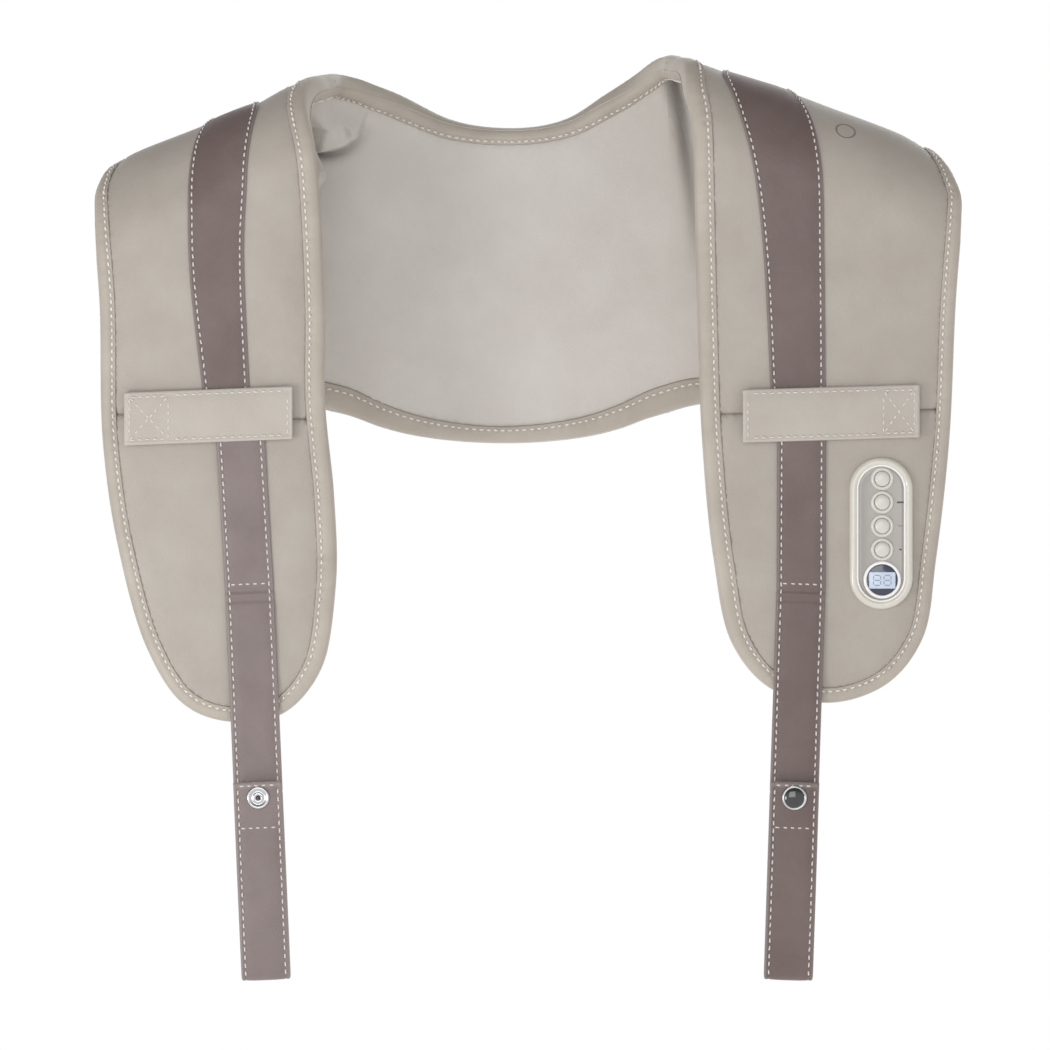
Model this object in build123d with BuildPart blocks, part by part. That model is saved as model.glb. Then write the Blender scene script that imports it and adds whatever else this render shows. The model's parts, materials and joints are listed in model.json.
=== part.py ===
"""Shiatsu neck and shoulder massage shawl, worn pose.

A padded leather-cloth shawl lies over both shoulders: a back panel behind the neck, an arch over each
shoulder and a long rounded panel down each side of the chest.  Under each arch a kneading module is
sewn in: one motor turns a worm, and the worm turns two wheels that carry a pair of rubber nodes each.
A control unit with four keys and a round display is set in the wearer's left chest panel.  Leather
straps hang from the chest panels and end in hand loops closed by snaps.

Frame: millimetres, +Z up, the wearer faces -Y, +X is the wearer's left.  The origin is the middle of
the neck opening, at the height where the massage nodes rest on the shoulders.
"""

import os
from dataclasses import dataclass
from math import cos, radians, sin, tan

from build123d import *

os.makedirs("parts", exist_ok=True)

# ---------------------------------------------------------------- driving dimensions
HALF_DEPTH = 76.0       # front and back leather faces, from the middle plane
CORNER = 48.0           # outer radius of the arch, front and back
SHOULDER_X = 180.0      # where the height of the shoulder line is given
LEG = 560.0             # arches are made this tall and ARCH_RUN long, then trimmed to the outline
ARCH_RUN = 400.0

LEATHER = 1.6
FOAM = 8.8
LINING = 1.4
PLY_GAP = 0.1
FOAM_DEPTH = LEATHER + PLY_GAP
LINING_DEPTH = FOAM_DEPTH + FOAM + PLY_GAP
PAD = LINING_DEPTH + LINING
BINDING_WIDTH = 6.0
BINDING_PROUD = 0.6
SEAM_Z = -124.0         # the chest panel is sewn across here

STRIP = 1.3
STRAP = 2.4
STRAP_WIDTH = 29.0
STRAP_TOP = -222.0      # the hanging strap starts here
STRAP_LENGTH = 232.0    # from there to the middle of the bottom fold
LEAF_LENGTH = 115.0     # the turned-up end of the strap
LOOP_GAP = 5.0
SNAP_BELOW_END = 10.5

KEEPER_HEIGHT = 33.0
KEEPER_TOP = -102.5
KEEPER_STANDS_OFF = 3.2
KEEPER = 2.8

# kneading module, in its own frame: z up from the bottom of its case
CASE = (110.0, 82.0, 28.0)
CASE_WALL = 2.0
CASE_BELOW_FOAM = 2.8
CASE_SPLIT = 14.0
WHEEL_TEETH = 36
MODULE_PITCH = 3.927    # axial pitch of the worm, and circular pitch of the wheels
WHEEL_R = WHEEL_TEETH * MODULE_PITCH / 6.2831853
WORM_R = 5.5
WHEEL_SPACING = WHEEL_R + WORM_R
WHEEL_Y = -11.0
AXLE_R = 3.0
RUNNING = 0.06
NODE_RING = 15.0
NODE_R = 10.5
NODE_HEIGHT = 14.0
CARRIER_BOTTOM = -4.0
NODE_CLEAR = 1.2
POUCH = 1.2

# control unit, in its own frame: z out of the chest panel, y up
CONTROL_AT = (213.0, -191.0)
CONTROL = (38.0, 91.0)
BEZEL_WIDTH = 5.2
KEY_HEIGHTS = {"power": 32.7, "mode": 18.6, "plus": 4.4, "minus": -9.7}
KEY_R = 4.5
KEY_TRAVEL = 0.8
DISPLAY_Y = -27.9
DISPLAY_R = 9.6


@dataclass
class Side:
    """What differs between the two sides; x values are distances from the middle plane."""

    name: str
    sign: int
    neck: float          # the arch starts here
    top: float           # height of the shoulder line at SHOULDER_X
    slope: float         # fall of the shoulder line towards the arm
    module: float        # the kneading module hangs under the shoulder line here
    inner: list          # chest panel outline beside the neck, from the top down
    tip: list            # round the bottom
    outer: list          # up the arm side
    strip_inner: list
    strip_outer: list
    strap: float
    strap_lean: float
    keeper: tuple        # free end, stitched line, outer end


LEFT = Side(
    "left", 1, 88, 65, radians(21), 190,
    [(99, 60), (103, -51), (107, -135), (114, -207)],
    [(124, -258), (149, -284), (183, -293), (217, -280)],
    [(238, -252), (246, -207), (254, -135), (258, -51), (262, 15), (248, 39)],
    [(119, 84), (137, 24), (142, -20), (146, -106)],
    [(164, 84), (178, 24), (179, -20), (180, -106)],
    165, radians(1.9), (130, 211, 236),
)
RIGHT = Side(
    "right", -1, 119, 61, radians(25), 197,
    [(134, 70), (124, 9), (122, -111), (116, -171), (115, -225)],
    [(126, -278), (148, -299), (181, -303), (205, -293)],
    [(226, -261), (245, -198), (254, -135), (256, -51), (260, 15), (241, 42)],
    [(161, 64), (167, 24), (169, -20), (166, -106)],
    [(191, 58), (203, 10), (202, -35), (194, -106)],
    166, radians(2.5), (140, 211, 241),
)


def ridge(side, x):
    """Height of the outer leather on top of an arch, x mm from the middle plane."""
    return side.top + tan(side.slope) * (SHOULDER_X - x)


def ridge_plane(side, x):
    """Plane square to the shoulder line where it passes x, with its y pointing up."""
    direction = Vector(side.sign * cos(side.slope), 0, -sin(side.slope))
    return Plane((side.sign * x, 0, ridge(side, x)), x_dir=(0, side.sign, 0), z_dir=direction)


def save(built, label):
    built.part.label = label
    export_step(built.part, f"parts/{label}.step")


# ---------------------------------------------------------------- padded shell
def arch(depth):
    """Section of the space under the shell at a depth below its outer face, top at y = -depth."""
    with BuildSketch() as section:
        with Locations((0, -depth)):
            Rectangle(2 * (HALF_DEPTH - depth), LEG, align=(Align.CENTER, Align.MAX))
        fillet(section.vertices().group_by(Axis.Y)[-1], CORNER - depth)
    return section.sketch


def inward(points, amount, turn):
    """The same line drawn in: each point moves square to the line through its neighbours."""
    moved = []
    for index, point in enumerate(points):
        before = Vector(points[max(index - 1, 0)])
        after = Vector(points[min(index + 1, len(points) - 1)])
        along = (after - before).normalized()
        moved.append(Vector(point) + Vector(-along.Y, along.X) * amount * turn)
    return moved


def side_blank(side, inset=0.0):
    """Everything inside the sewn outline of one side, front and back."""
    arm = [*side.outer[-2:], (200, 140)]
    hem = [(side.neck - 30, -133), (side.neck, -121), (180, -84), (259, -50)]
    front = inward([(side.neck, 112), *side.inner, *side.tip, *side.outer[:-2], *arm], inset, 1)
    back = inward([*hem, *arm], inset, 1)
    roof = (side.neck + inset, 140)
    mirror = [(side.sign * point.X, point.Y) for point in front]
    mirror_back = [(side.sign * point.X, point.Y) for point in back]
    with BuildPart() as blank:
        with BuildSketch(Plane.XZ):
            with BuildLine():
                edge = Spline(*mirror[:-2])
                Polyline(edge @ 1, *mirror[-2:], (side.sign * roof[0], roof[1]), edge @ 0)
            make_face()
        extrude(amount=HALF_DEPTH + 10)
        with BuildSketch(Plane.XZ):
            with BuildLine():
                lower = Spline(*mirror_back[:-3])
                Polyline(lower @ 1, *mirror_back[-3:], (side.sign * (side.neck - 30), 140), lower @ 0)
            make_face()
            with Locations((side.sign * (side.neck + 150), 0)):
                Rectangle(300, 400, mode=Mode.INTERSECT)
        extrude(amount=-HALF_DEPTH - 10)
    return blank.part


def side_shell(side, depth, thickness, blank):
    """One ply of a side: an arch section drawn out along the shoulder line and trimmed to blank."""
    outside = arch(depth)
    inside = arch(depth + thickness)
    with BuildPart() as ply:
        with BuildSketch(ridge_plane(side, side.neck - 10)):
            add(outside)
            add(inside, mode=Mode.SUBTRACT)
        extrude(amount=ARCH_RUN)
        add(blank, mode=Mode.INTERSECT)
    return ply


def back_blank(inset=0.0):
    """Inside the sewn outline of the back panel: a hollow collar line above, a full curve below."""
    collar_points = [(-150, 103), (-RIGHT.neck, ridge(RIGHT, RIGHT.neck)), (-80, 80), (-45, 63.5),
                     (-4, 58.5), (25, 64.5), (50, 80), (LEFT.neck, ridge(LEFT, LEFT.neck)), (110, 116)]
    hem = [(118, -110), (LEFT.neck, -121), (-14, -135), (-RIGHT.neck, -121), (-150, -110)]
    with BuildPart() as blank:
        with BuildSketch(Plane.XZ):
            with BuildLine():
                collar = Spline(*inward(collar_points, inset, -1))
                lower = Spline(*inward(hem, inset, -1))
                Line(collar @ 1, lower @ 0)
                Line(lower @ 1, collar @ 0)
            make_face()
            with Locations(((LEFT.neck - RIGHT.neck) / 2, 0)):
                Rectangle(LEFT.neck + RIGHT.neck, 400, mode=Mode.INTERSECT)
        extrude(amount=-HALF_DEPTH - 10)
    return blank.part


def back_shell(depth, thickness, blank):
    """One ply of the back panel, between the two arches."""
    start = Vector(-RIGHT.neck, 0, ridge(RIGHT, RIGHT.neck))
    across = Vector(LEFT.neck, 0, ridge(LEFT, LEFT.neck)) - start
    outside = arch(depth)
    inside = arch(depth + thickness)
    with BuildPart() as ply:
        with BuildSketch(Plane(start - across.normalized() * 40, x_dir=(0, 1, 0), z_dir=across)):
            add(outside)
            add(inside, mode=Mode.SUBTRACT)
        extrude(amount=across.length + 80)
        add(blank, mode=Mode.INTERSECT)
    return ply


def strip_blank(side):
    """Outline of the decorative strip that runs over a shoulder, front and back."""
    def at(points):
        return [(side.sign * x, z) for x, z in points]

    top_in, top_out = side.strip_inner[0][0], side.strip_outer[0][0]
    with BuildPart() as blank:
        with BuildSketch(Plane.XZ):
            with BuildLine():
                inner = Spline(*at([(top_in, 100), *side.strip_inner]))
                outer = Spline(*at([(top_out, 100), *side.strip_outer]))
                Line(inner @ 0, outer @ 0)
                Line(inner @ 1, outer @ 1)
            make_face()
        extrude(amount=HALF_DEPTH + 10)
        with BuildSketch(Plane.XZ):
            Polygon(*at([(top_in, 100), (top_out, 100), (top_out, -68), (top_in, -84)]), align=None)
        extrude(amount=-HALF_DEPTH - 10)
    return blank.part


# ---------------------------------------------------------------- kneading module
def module_plane(side, height=0.0):
    """Plane of a module, parallel to the bottom of its case, its x running down the shoulder."""
    top = ridge_plane(side, side.module)
    origin = top.origin + top.y_dir * (height - CASE[2] - LINING_DEPTH - CASE_BELOW_FOAM)
    return Plane(origin, x_dir=top.z_dir, z_dir=top.y_dir)


def case_shell(side, low, high, floor_low):
    """A tray of the module's outline between two heights, with its floor at the low or the high end."""
    with BuildPart() as shell:
        with BuildSketch(module_plane(side, low)):
            RectangleRounded(CASE[0], CASE[1], 10)
        extrude(amount=high - low)
        inner_low = low + CASE_WALL if floor_low else low
        with BuildSketch(module_plane(side, inner_low)):
            RectangleRounded(CASE[0] - 2 * CASE_WALL, CASE[1] - 2 * CASE_WALL, 8)
        extrude(amount=high - low - CASE_WALL, mode=Mode.SUBTRACT)
    return shell.part


def wheel_points():
    return [(WHEEL_SPACING, WHEEL_Y), (-WHEEL_SPACING, WHEEL_Y)]


def module_tray(side):
    """Lower half of the case, with the openings that the wheel hubs pass through."""
    shell = case_shell(side, 0, CASE_SPLIT, True)
    with BuildPart() as tray:
        add(shell)
        with BuildSketch(module_plane(side)):
            with Locations(*wheel_points()):
                Circle(13)
        extrude(amount=CASE_WALL, mode=Mode.SUBTRACT)
        with BuildSketch(module_plane(side, CASE_WALL)):
            with Locations((0, -36.5)):
                Rectangle(12, 5)
        extrude(amount=CASE_SPLIT - CASE_WALL + 6)
        with BuildSketch(Plane(module_plane(side, CASE_SPLIT).from_local_coords((0, -32, 0)),
                               x_dir=module_plane(side).x_dir, z_dir=-module_plane(side).y_dir)):
            Circle(1.6)
        extrude(amount=5.5, mode=Mode.SUBTRACT)
        with BuildSketch(module_plane(side)):
            with GridLocations(CASE[0] - 15, CASE[1] - 15, 2, 2):
                Circle(4)
        extrude(amount=CASE_SPLIT)
        with BuildSketch(module_plane(side)):
            with GridLocations(CASE[0] - 15, CASE[1] - 15, 2, 2):
                Circle(1.6)
        extrude(amount=CASE_SPLIT, mode=Mode.SUBTRACT)
    return tray


def module_lid(side):
    """Upper half of the case, with a boss for each axle and for each screw."""
    top = CASE[2] - CASE_WALL
    shell = case_shell(side, CASE_SPLIT, CASE[2], False)
    with BuildPart() as lid:
        add(shell)
        with BuildSketch(module_plane(side, 18.3)):
            with Locations(*wheel_points()):
                Circle(6)
        extrude(amount=top - 18.3)
        with BuildSketch(module_plane(side, CASE_SPLIT)):
            with GridLocations(CASE[0] - 15, CASE[1] - 15, 2, 2):
                Circle(4)
        extrude(amount=top - CASE_SPLIT)
        with BuildSketch(module_plane(side, CASE_SPLIT)):
            with GridLocations(CASE[0] - 15, CASE[1] - 15, 2, 2):
                Circle(1.3)
        extrude(amount=8, mode=Mode.SUBTRACT)
        with BuildSketch(module_plane(side, 18.3)):
            with Locations(*wheel_points()):
                Circle(AXLE_R)
        extrude(amount=top - 18.3, mode=Mode.SUBTRACT)
        roof = lid.faces().sort_by(Axis(module_plane(side).origin, module_plane(side).z_dir))[-1]
        chamfer(roof.outer_wire().edges(), 1.8)
    return lid


def case_screws():
    """The four screws of each module case, one solid each."""
    with BuildPart() as screws:
        for side in (LEFT, RIGHT):
            with BuildSketch(module_plane(side, -1.8)):
                with GridLocations(CASE[0] - 15, CASE[1] - 15, 2, 2):
                    Circle(2.8)
            extrude(amount=1.8)
            with BuildSketch(module_plane(side)):
                with GridLocations(CASE[0] - 15, CASE[1] - 15, 2, 2):
                    Circle(1.3)
            extrude(amount=CASE_SPLIT + 7)
    return screws


def axles():
    """A headed steel pin for each wheel: fixed in the lid, with the wheel turning on it."""
    with BuildPart() as pins:
        for side in (LEFT, RIGHT):
            with BuildSketch(module_plane(side, CARRIER_BOTTOM - 1.7)):
                with Locations(*wheel_points()):
                    Circle(4.1)
            extrude(amount=1.5)
            with BuildSketch(module_plane(side, CARRIER_BOTTOM - 0.2)):
                with Locations(*wheel_points()):
                    Circle(AXLE_R)
            extrude(amount=CASE[2] - CASE_WALL - CARRIER_BOTTOM + 0.2)
    return pins


def motor(side):
    """Brushed motor: can, nose boss, and the bore that its shaft turns in."""
    plane = module_plane(side, CASE_SPLIT)
    front = Plane(plane.from_local_coords((0, 9.5, 0)), x_dir=plane.x_dir, z_dir=plane.y_dir)
    with BuildPart() as can:
        with BuildSketch(front):
            Circle(11.8)
        extrude(amount=28)
        chamfer(can.edges().filter_by(GeomType.CIRCLE), 1)
        with BuildSketch(front):
            Circle(4)
        extrude(amount=-1.4)
        with BuildSketch(front.offset(-1.4)):
            Circle(1.5 + RUNNING)
        extrude(amount=10, mode=Mode.SUBTRACT)
        with BuildSketch(front.offset(28)):
            with Locations((-6, 0), (6, 0)):
                Rectangle(2.2, 0.8)
        extrude(amount=1.2)
    return can


def worm(side):
    """Single-start worm with its shaft: one turn moves each wheel on by one tooth."""
    plane = module_plane(side, CASE_SPLIT)
    turns = 4.5
    start = WHEEL_Y - 2 * MODULE_PITCH
    axis = Plane(plane.from_local_coords((0, start, 0)), x_dir=plane.x_dir, z_dir=plane.y_dir)
    root, tip = 4.1, 6.5
    with BuildPart() as screw:
        with BuildLine() as path:
            Helix(pitch=MODULE_PITCH, height=turns * MODULE_PITCH, radius=root)
        with BuildSketch(Plane.XZ):
            Polygon((root - 0.3, -1.0), (tip, -0.4), (tip, 0.4), (root - 0.3, 1.0), align=None)
        sweep(path=path.line, is_frenet=True)
        with BuildSketch(Plane.XY.offset(-1.6)):
            Circle(root)
        extrude(amount=turns * MODULE_PITCH + 3.2)
        with BuildSketch(Plane.XY.offset(-37.5 - start)):
            Circle(1.5)
        extrude(amount=37.5 + 16)
    screw.part = screw.part.moved(axis.location)
    return screw


def wheel(side, which):
    """Worm wheel, hub, and the carrier disc with two posts for the nodes, moulded as one."""
    centre = wheel_points()[which]
    tooth_root, tooth_tip = WHEEL_R - 1.45, WHEEL_R + 1.1
    first = 5 if which == 0 else 0
    with BuildPart() as made:
        with BuildSketch(module_plane(side, 10.5)):
            with Locations(centre):
                Circle(tooth_root)
                with PolarLocations(0, WHEEL_TEETH, start_angle=first):
                    Polygon((tooth_root - 0.4, -1.1), (tooth_tip, -0.45), (tooth_tip, 0.45),
                            (tooth_root - 0.4, 1.1), align=None)
        extrude(amount=7)
        with BuildSketch(module_plane(side, CARRIER_BOTTOM + 2.5)):
            with Locations(centre):
                Circle(10)
        extrude(amount=8 - CARRIER_BOTTOM)
        with BuildSketch(module_plane(side, CARRIER_BOTTOM)):
            with Locations(centre):
                Circle(25)
        extrude(amount=2.5)
        with BuildSketch(module_plane(side, CARRIER_BOTTOM - 8)):
            with Locations(*node_points(which)):
                Circle(2.5)
        extrude(amount=8)
        with BuildSketch(module_plane(side, CARRIER_BOTTOM)):
            with Locations(centre):
                Circle(AXLE_R + RUNNING)
        extrude(amount=22, mode=Mode.SUBTRACT)
    return made


def node_points(which):
    """Centres of the two nodes on a carrier; the two carriers stand a quarter turn apart."""
    x, y = wheel_points()[which]
    if which == 0:
        return [(x, y - NODE_RING), (x, y + NODE_RING)]
    return [(x - NODE_RING, y), (x + NODE_RING, y)]


def nodes(side, which):
    """The two rubber kneading nodes of one wheel, pushed on its posts."""
    with BuildPart() as rubber:
        with BuildSketch(module_plane(side, CARRIER_BOTTOM - NODE_HEIGHT)):
            with Locations(*node_points(which)):
                Circle(NODE_R)
        extrude(amount=NODE_HEIGHT)
        tips = rubber.faces().filter_by(GeomType.PLANE).group_by(
            Axis(module_plane(side).origin, module_plane(side).z_dir))[0]
        fillet(tips.edges(), 8)
        with BuildSketch(module_plane(side, CARRIER_BOTTOM - 8)):
            with Locations(*node_points(which)):
                Circle(2.5)
        extrude(amount=8, mode=Mode.SUBTRACT)
    return rubber


def pouch_form(side, shrink):
    """Round-bottomed block from below the nodes up into the padding; shrink gives the inside."""
    bottom = CARRIER_BOTTOM - NODE_HEIGHT - NODE_CLEAR - POUCH + shrink
    with BuildPart() as form:
        with BuildSketch(module_plane(side, bottom)):
            RectangleRounded(CASE[0] + 4 - 2 * shrink, CASE[1] + 4 - 2 * shrink, 13 - shrink)
        extrude(amount=64)
        lowest = form.faces().sort_by(Axis(module_plane(side).origin, module_plane(side).z_dir))[0]
        fillet(lowest.edges(), 9 - shrink)
    return form.part


def pouch(side):
    """Stretch cover around the module and its nodes, sewn to the lining at its rim."""
    space = arch(PAD + PLY_GAP)
    outside = pouch_form(side, 0)
    inside = pouch_form(side, POUCH)
    with BuildPart() as cover:
        add(outside)
        add(inside, mode=Mode.SUBTRACT)
        with BuildSketch(ridge_plane(side, side.neck)):
            add(space)
        extrude(amount=ARCH_RUN, mode=Mode.INTERSECT)
    return cover


def module_window(side):
    """The opening in the lining that the module stands in."""
    with BuildPart() as window:
        with BuildSketch(module_plane(side, -30)):
            RectangleRounded(CASE[0] + 1, CASE[1] + 1, 11)
        extrude(amount=80)
    return window.part


# ---------------------------------------------------------------- control unit
def control_plane(height=0.0):
    """Plane of the control unit; height is measured out of the leather face of the chest panel."""
    return Plane((CONTROL_AT[0], -HALF_DEPTH - height, CONTROL_AT[1]), x_dir=(1, 0, 0), z_dir=(0, -1, 0))


def stadium(shrink=0.0):
    """Long round outline of the control unit, drawn in from its edge by shrink."""
    SlotOverall(CONTROL[1] - 2 * shrink, CONTROL[0] - 2 * shrink, rotation=90)


def control_pocket():
    """The hole for the control unit through leather and foam."""
    with BuildPart() as pocket:
        with BuildSketch(control_plane(-10.2)):
            stadium(1.4)
        extrude(amount=20)
    return pocket.part


def control_base():
    """Rear shell of the control unit: a cup in the foam, with a flange that grips the leather."""
    with BuildPart() as base:
        with BuildSketch(control_plane(-10)):
            stadium(1.6)
        extrude(amount=10.1)
        with BuildSketch(control_plane(0.1)):
            stadium()
        extrude(amount=1.9)
        with BuildSketch(control_plane(-8.6)):
            stadium(3.2)
        extrude(amount=12, mode=Mode.SUBTRACT)
    return base


def control_bezel():
    """Raised rim around the face, rounded on the outside."""
    with BuildPart() as bezel:
        with BuildSketch(control_plane(2)):
            stadium()
        extrude(amount=3.6)
        fillet(bezel.faces().sort_by(Axis.Y)[0].edges(), 2.4)
        with BuildSketch(control_plane(2)):
            stadium(BEZEL_WIDTH)
        extrude(amount=4, mode=Mode.SUBTRACT)
    return bezel


def control_face():
    """Smoked face inside the rim, with a collar round each key and round the display."""
    with BuildPart() as face:
        with BuildSketch(control_plane(2.6)):
            stadium(BEZEL_WIDTH + 0.1)
        extrude(amount=1.2)
        with BuildSketch(control_plane(3.8)):
            with Locations(*[(0, y) for y in KEY_HEIGHTS.values()]):
                Circle(6.9)
            with Locations((0, DISPLAY_Y)):
                Circle(11.0)
        extrude(amount=0.9)
        with BuildSketch(control_plane(2)):
            with Locations(*[(0, y) for y in KEY_HEIGHTS.values()]):
                Circle(KEY_R + 0.15)
            with Locations((0, DISPLAY_Y)):
                Circle(DISPLAY_R + 0.1)
        extrude(amount=4, mode=Mode.SUBTRACT)
    return face


def key(height):
    """A domed round key with the flange that keeps it behind the face."""
    with BuildPart() as cap:
        with BuildSketch(control_plane(1.7)):
            with Locations((0, height)):
                Circle(KEY_R + 0.8)
        extrude(amount=0.8)
        with BuildSketch(control_plane(1.7)):
            with Locations((0, height)):
                Circle(KEY_R)
        extrude(amount=4.2)
        fillet(cap.faces().sort_by(Axis.Y)[0].edges(), 1.1)
        with BuildSketch(control_plane(-2.2)):
            with Locations((0, height)):
                Circle(1.5)
        extrude(amount=3.9)
    return cap


def display_lens():
    """Round window over the display."""
    with BuildPart() as lens:
        with BuildSketch(control_plane(2.7)):
            with Locations((0, DISPLAY_Y)):
                Circle(DISPLAY_R)
        extrude(amount=1.9)
        fillet(lens.faces().sort_by(Axis.Y)[0].edges(), 0.7)
    return lens


def display_module():
    """Liquid-crystal block standing on the board behind the window."""
    with BuildPart() as block:
        with BuildSketch(control_plane(-4.9)):
            with Locations((0, DISPLAY_Y)):
                RectangleRounded(16.5, 12.5, 1)
        extrude(amount=6.5)
    return block


def control_board():
    """Circuit board with a push switch under each key, and a buzzer at its foot."""
    with BuildPart() as board:
        with BuildSketch(control_plane(-6.6)):
            stadium(3.6)
        extrude(amount=1.6)
        with BuildSketch(control_plane(-5)):
            with Locations(*[(0, y) for y in KEY_HEIGHTS.values()]):
                Rectangle(6, 6)
        extrude(amount=1.3)
        with BuildSketch(control_plane(-3.7)):
            with Locations(*[(0, y) for y in KEY_HEIGHTS.values()]):
                Circle(1.6)
        extrude(amount=0.6)
    return board


def power_inlet():
    """Low-voltage socket on the lining side of the left chest panel; the plug enters from below."""
    x, y, mouth = CONTROL_AT[0], -HALF_DEPTH + PAD + 5.1, -262.0
    with BuildPart() as inlet:
        with BuildSketch(Plane.XY.offset(mouth)):
            with Locations((x, y)):
                RectangleRounded(14, 10, 2.5)
        extrude(amount=17)
        fillet(inlet.faces().sort_by(Axis.Z)[-1].edges(), 1.5)
        with BuildSketch(Plane.XY.offset(mouth)):
            with Locations((x, y)):
                Circle(2.85)
        extrude(amount=10, mode=Mode.SUBTRACT)
        with BuildSketch(Plane.XY.offset(mouth + 0.6)):
            with Locations((x, y)):
                Circle(1.05)
        extrude(amount=9.4)
    return inlet


# ---------------------------------------------------------------- straps, loops and keepers
def strap_plane(side, layer_front=0.0, drop=0.0):
    """Plane of a hanging strap: x across it, y up it.  layer_front is how far in front of the leather."""
    lean = side.strap_lean
    down = Vector(-side.sign * sin(lean), 0, -cos(lean))
    origin = Vector(side.sign * side.strap, -HALF_DEPTH - layer_front, STRAP_TOP) + down * drop
    return Plane(origin, x_dir=(cos(lean), 0, -side.sign * sin(lean)), z_dir=(0, -1, 0))


STRAP_BACK = 1.0
LEAF_BACK = STRAP_BACK + STRAP + LOOP_GAP
SNAP_DROP = STRAP_LENGTH - LEAF_LENGTH + SNAP_BELOW_END


def chest_strap(side):
    """Strap sewn on the chest panel between the keeper and the hanging strap."""
    with BuildPart() as made:
        with BuildSketch(strap_plane(side, 0.1)):
            with Locations((side.sign * 1.5, (-110 - STRAP_TOP) / 2 + 0.15)):
                Rectangle(STRAP_WIDTH + 1, -110 - STRAP_TOP - 0.3)
        extrude(amount=STRAP)
    return made


def hanging_strap(side):
    """Back layer of the hanging strap, rounded at the end that it swings on."""
    with BuildPart() as made:
        with BuildSketch(strap_plane(side, STRAP_BACK)):
            with Locations((0, -STRAP_LENGTH / 2)):
                Rectangle(STRAP_WIDTH, STRAP_LENGTH)
        extrude(amount=STRAP)
        fillet(made.faces().sort_by(Axis.Z)[-1].edges().filter_by(
            lambda edge: edge.length > STRAP), STRAP / 2 - 0.02)
        with BuildSketch(strap_plane(side, STRAP_BACK, SNAP_DROP)):
            Circle(2.0)
        extrude(amount=STRAP, mode=Mode.SUBTRACT)
    return made


def loop_leaf(side):
    """Front layer of the hand loop: the end of the strap, turned up and held by the snap."""
    with BuildPart() as made:
        with BuildSketch(strap_plane(side, LEAF_BACK, STRAP_LENGTH)):
            with Locations((0, LEAF_LENGTH / 2)):
                Rectangle(STRAP_WIDTH, LEAF_LENGTH)
        extrude(amount=STRAP)
        with BuildSketch(strap_plane(side, LEAF_BACK, SNAP_DROP)):
            Circle(2.0)
        extrude(amount=STRAP, mode=Mode.SUBTRACT)
    return made


def loop_fold(side):
    """The bend at the bottom of the hand loop."""
    bottom = strap_plane(side, STRAP_BACK + STRAP + LOOP_GAP / 2, STRAP_LENGTH)
    across = Plane(bottom.from_local_coords((-STRAP_WIDTH / 2, 0, 0)), x_dir=(0, -1, 0), z_dir=bottom.x_dir)
    outer = LOOP_GAP / 2 + STRAP
    with BuildPart() as made:
        with BuildSketch(across):
            Circle(outer)
            Circle(LOOP_GAP / 2, mode=Mode.SUBTRACT)
            with Locations((0, outer / 2)):
                Rectangle(2 * outer, outer, mode=Mode.INTERSECT)
        extrude(amount=STRAP_WIDTH)
    return made


def snap_stud(side):
    """Lower half of the snap: a rivet through the strap with a round-headed stud in front."""
    plane = strap_plane(side, STRAP_BACK, SNAP_DROP)
    with BuildPart() as made:
        for low, high, radius in ((-0.8, 0, 5), (0, STRAP, 2.0), (STRAP, STRAP + 0.8, 5.5),
                                  (STRAP + 0.8, STRAP + 3.4, 2.1)):
            with BuildSketch(plane.offset(low)):
                Circle(radius)
            extrude(amount=high - low)
        fillet(made.faces().sort_by(Axis.Y)[0].edges(), 0.8)
    return made


def snap_cap(side):
    """Upper half of the snap: socket behind the leaf, and a domed or an open cap in front."""
    plane = strap_plane(side, LEAF_BACK, SNAP_DROP)
    with BuildPart() as made:
        for low, high, radius in ((-3.6, 0, 5.4), (0, STRAP, 2.0), (STRAP, STRAP + 2.2, 7.2)):
            with BuildSketch(plane.offset(low)):
                Circle(radius)
            extrude(amount=high - low)
        fillet(made.faces().sort_by(Axis.Y)[0].edges(), 2.0)
        with BuildSketch(plane.offset(-3.6)):
            Circle(2.5)
        extrude(amount=3.2, mode=Mode.SUBTRACT)
        if side is RIGHT:
            with BuildSketch(plane.offset(STRAP + 1.1)):
                Circle(4.4)
            extrude(amount=3, mode=Mode.SUBTRACT)
            with BuildSketch(plane.offset(STRAP + 1.1)):
                Circle(2.3)
            extrude(amount=1.0)
            with BuildSketch(plane.offset(0.5)):
                Circle(1.1)
            extrude(amount=6, mode=Mode.SUBTRACT)
    return made


def keeper_anchors():
    """Outer ends of the two keeper bands, folded double and sewn to the chest panels."""
    with BuildPart() as made:
        for side in (LEFT, RIGHT):
            _, line, end = side.keeper
            with BuildSketch(Plane.XZ.offset(HALF_DEPTH + 0.1)):
                with Locations((side.sign * (line + 1.8 + end) / 2, KEEPER_TOP - KEEPER_HEIGHT / 2)):
                    Rectangle(end - line - 1.8, KEEPER_HEIGHT)
            extrude(amount=KEEPER_STANDS_OFF + KEEPER)
    return made


def keeper_flap(side):
    """The rest of the band, which lies across the strap and opens outwards from the stitched line."""
    free, line, _ = side.keeper
    with BuildPart() as made:
        with BuildSketch(Plane.XZ.offset(HALF_DEPTH + 0.1 + KEEPER_STANDS_OFF)):
            with Locations((side.sign * (free + line + KEEPER / 2) / 2, KEEPER_TOP - KEEPER_HEIGHT / 2)):
                Rectangle(line + KEEPER / 2 - free, KEEPER_HEIGHT)
        extrude(amount=KEEPER)
        knuckle = made.faces().sort_by(Axis.X)[-1 if side is LEFT else 0]
        fillet(knuckle.edges().filter_by(Axis.Z), KEEPER / 2 - 0.02)
    return made


# ---------------------------------------------------------------- build and write
def cut(whole, tool):
    with BuildPart() as rest:
        add(whole)
        add(tool, mode=Mode.SUBTRACT)
    return rest


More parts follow.
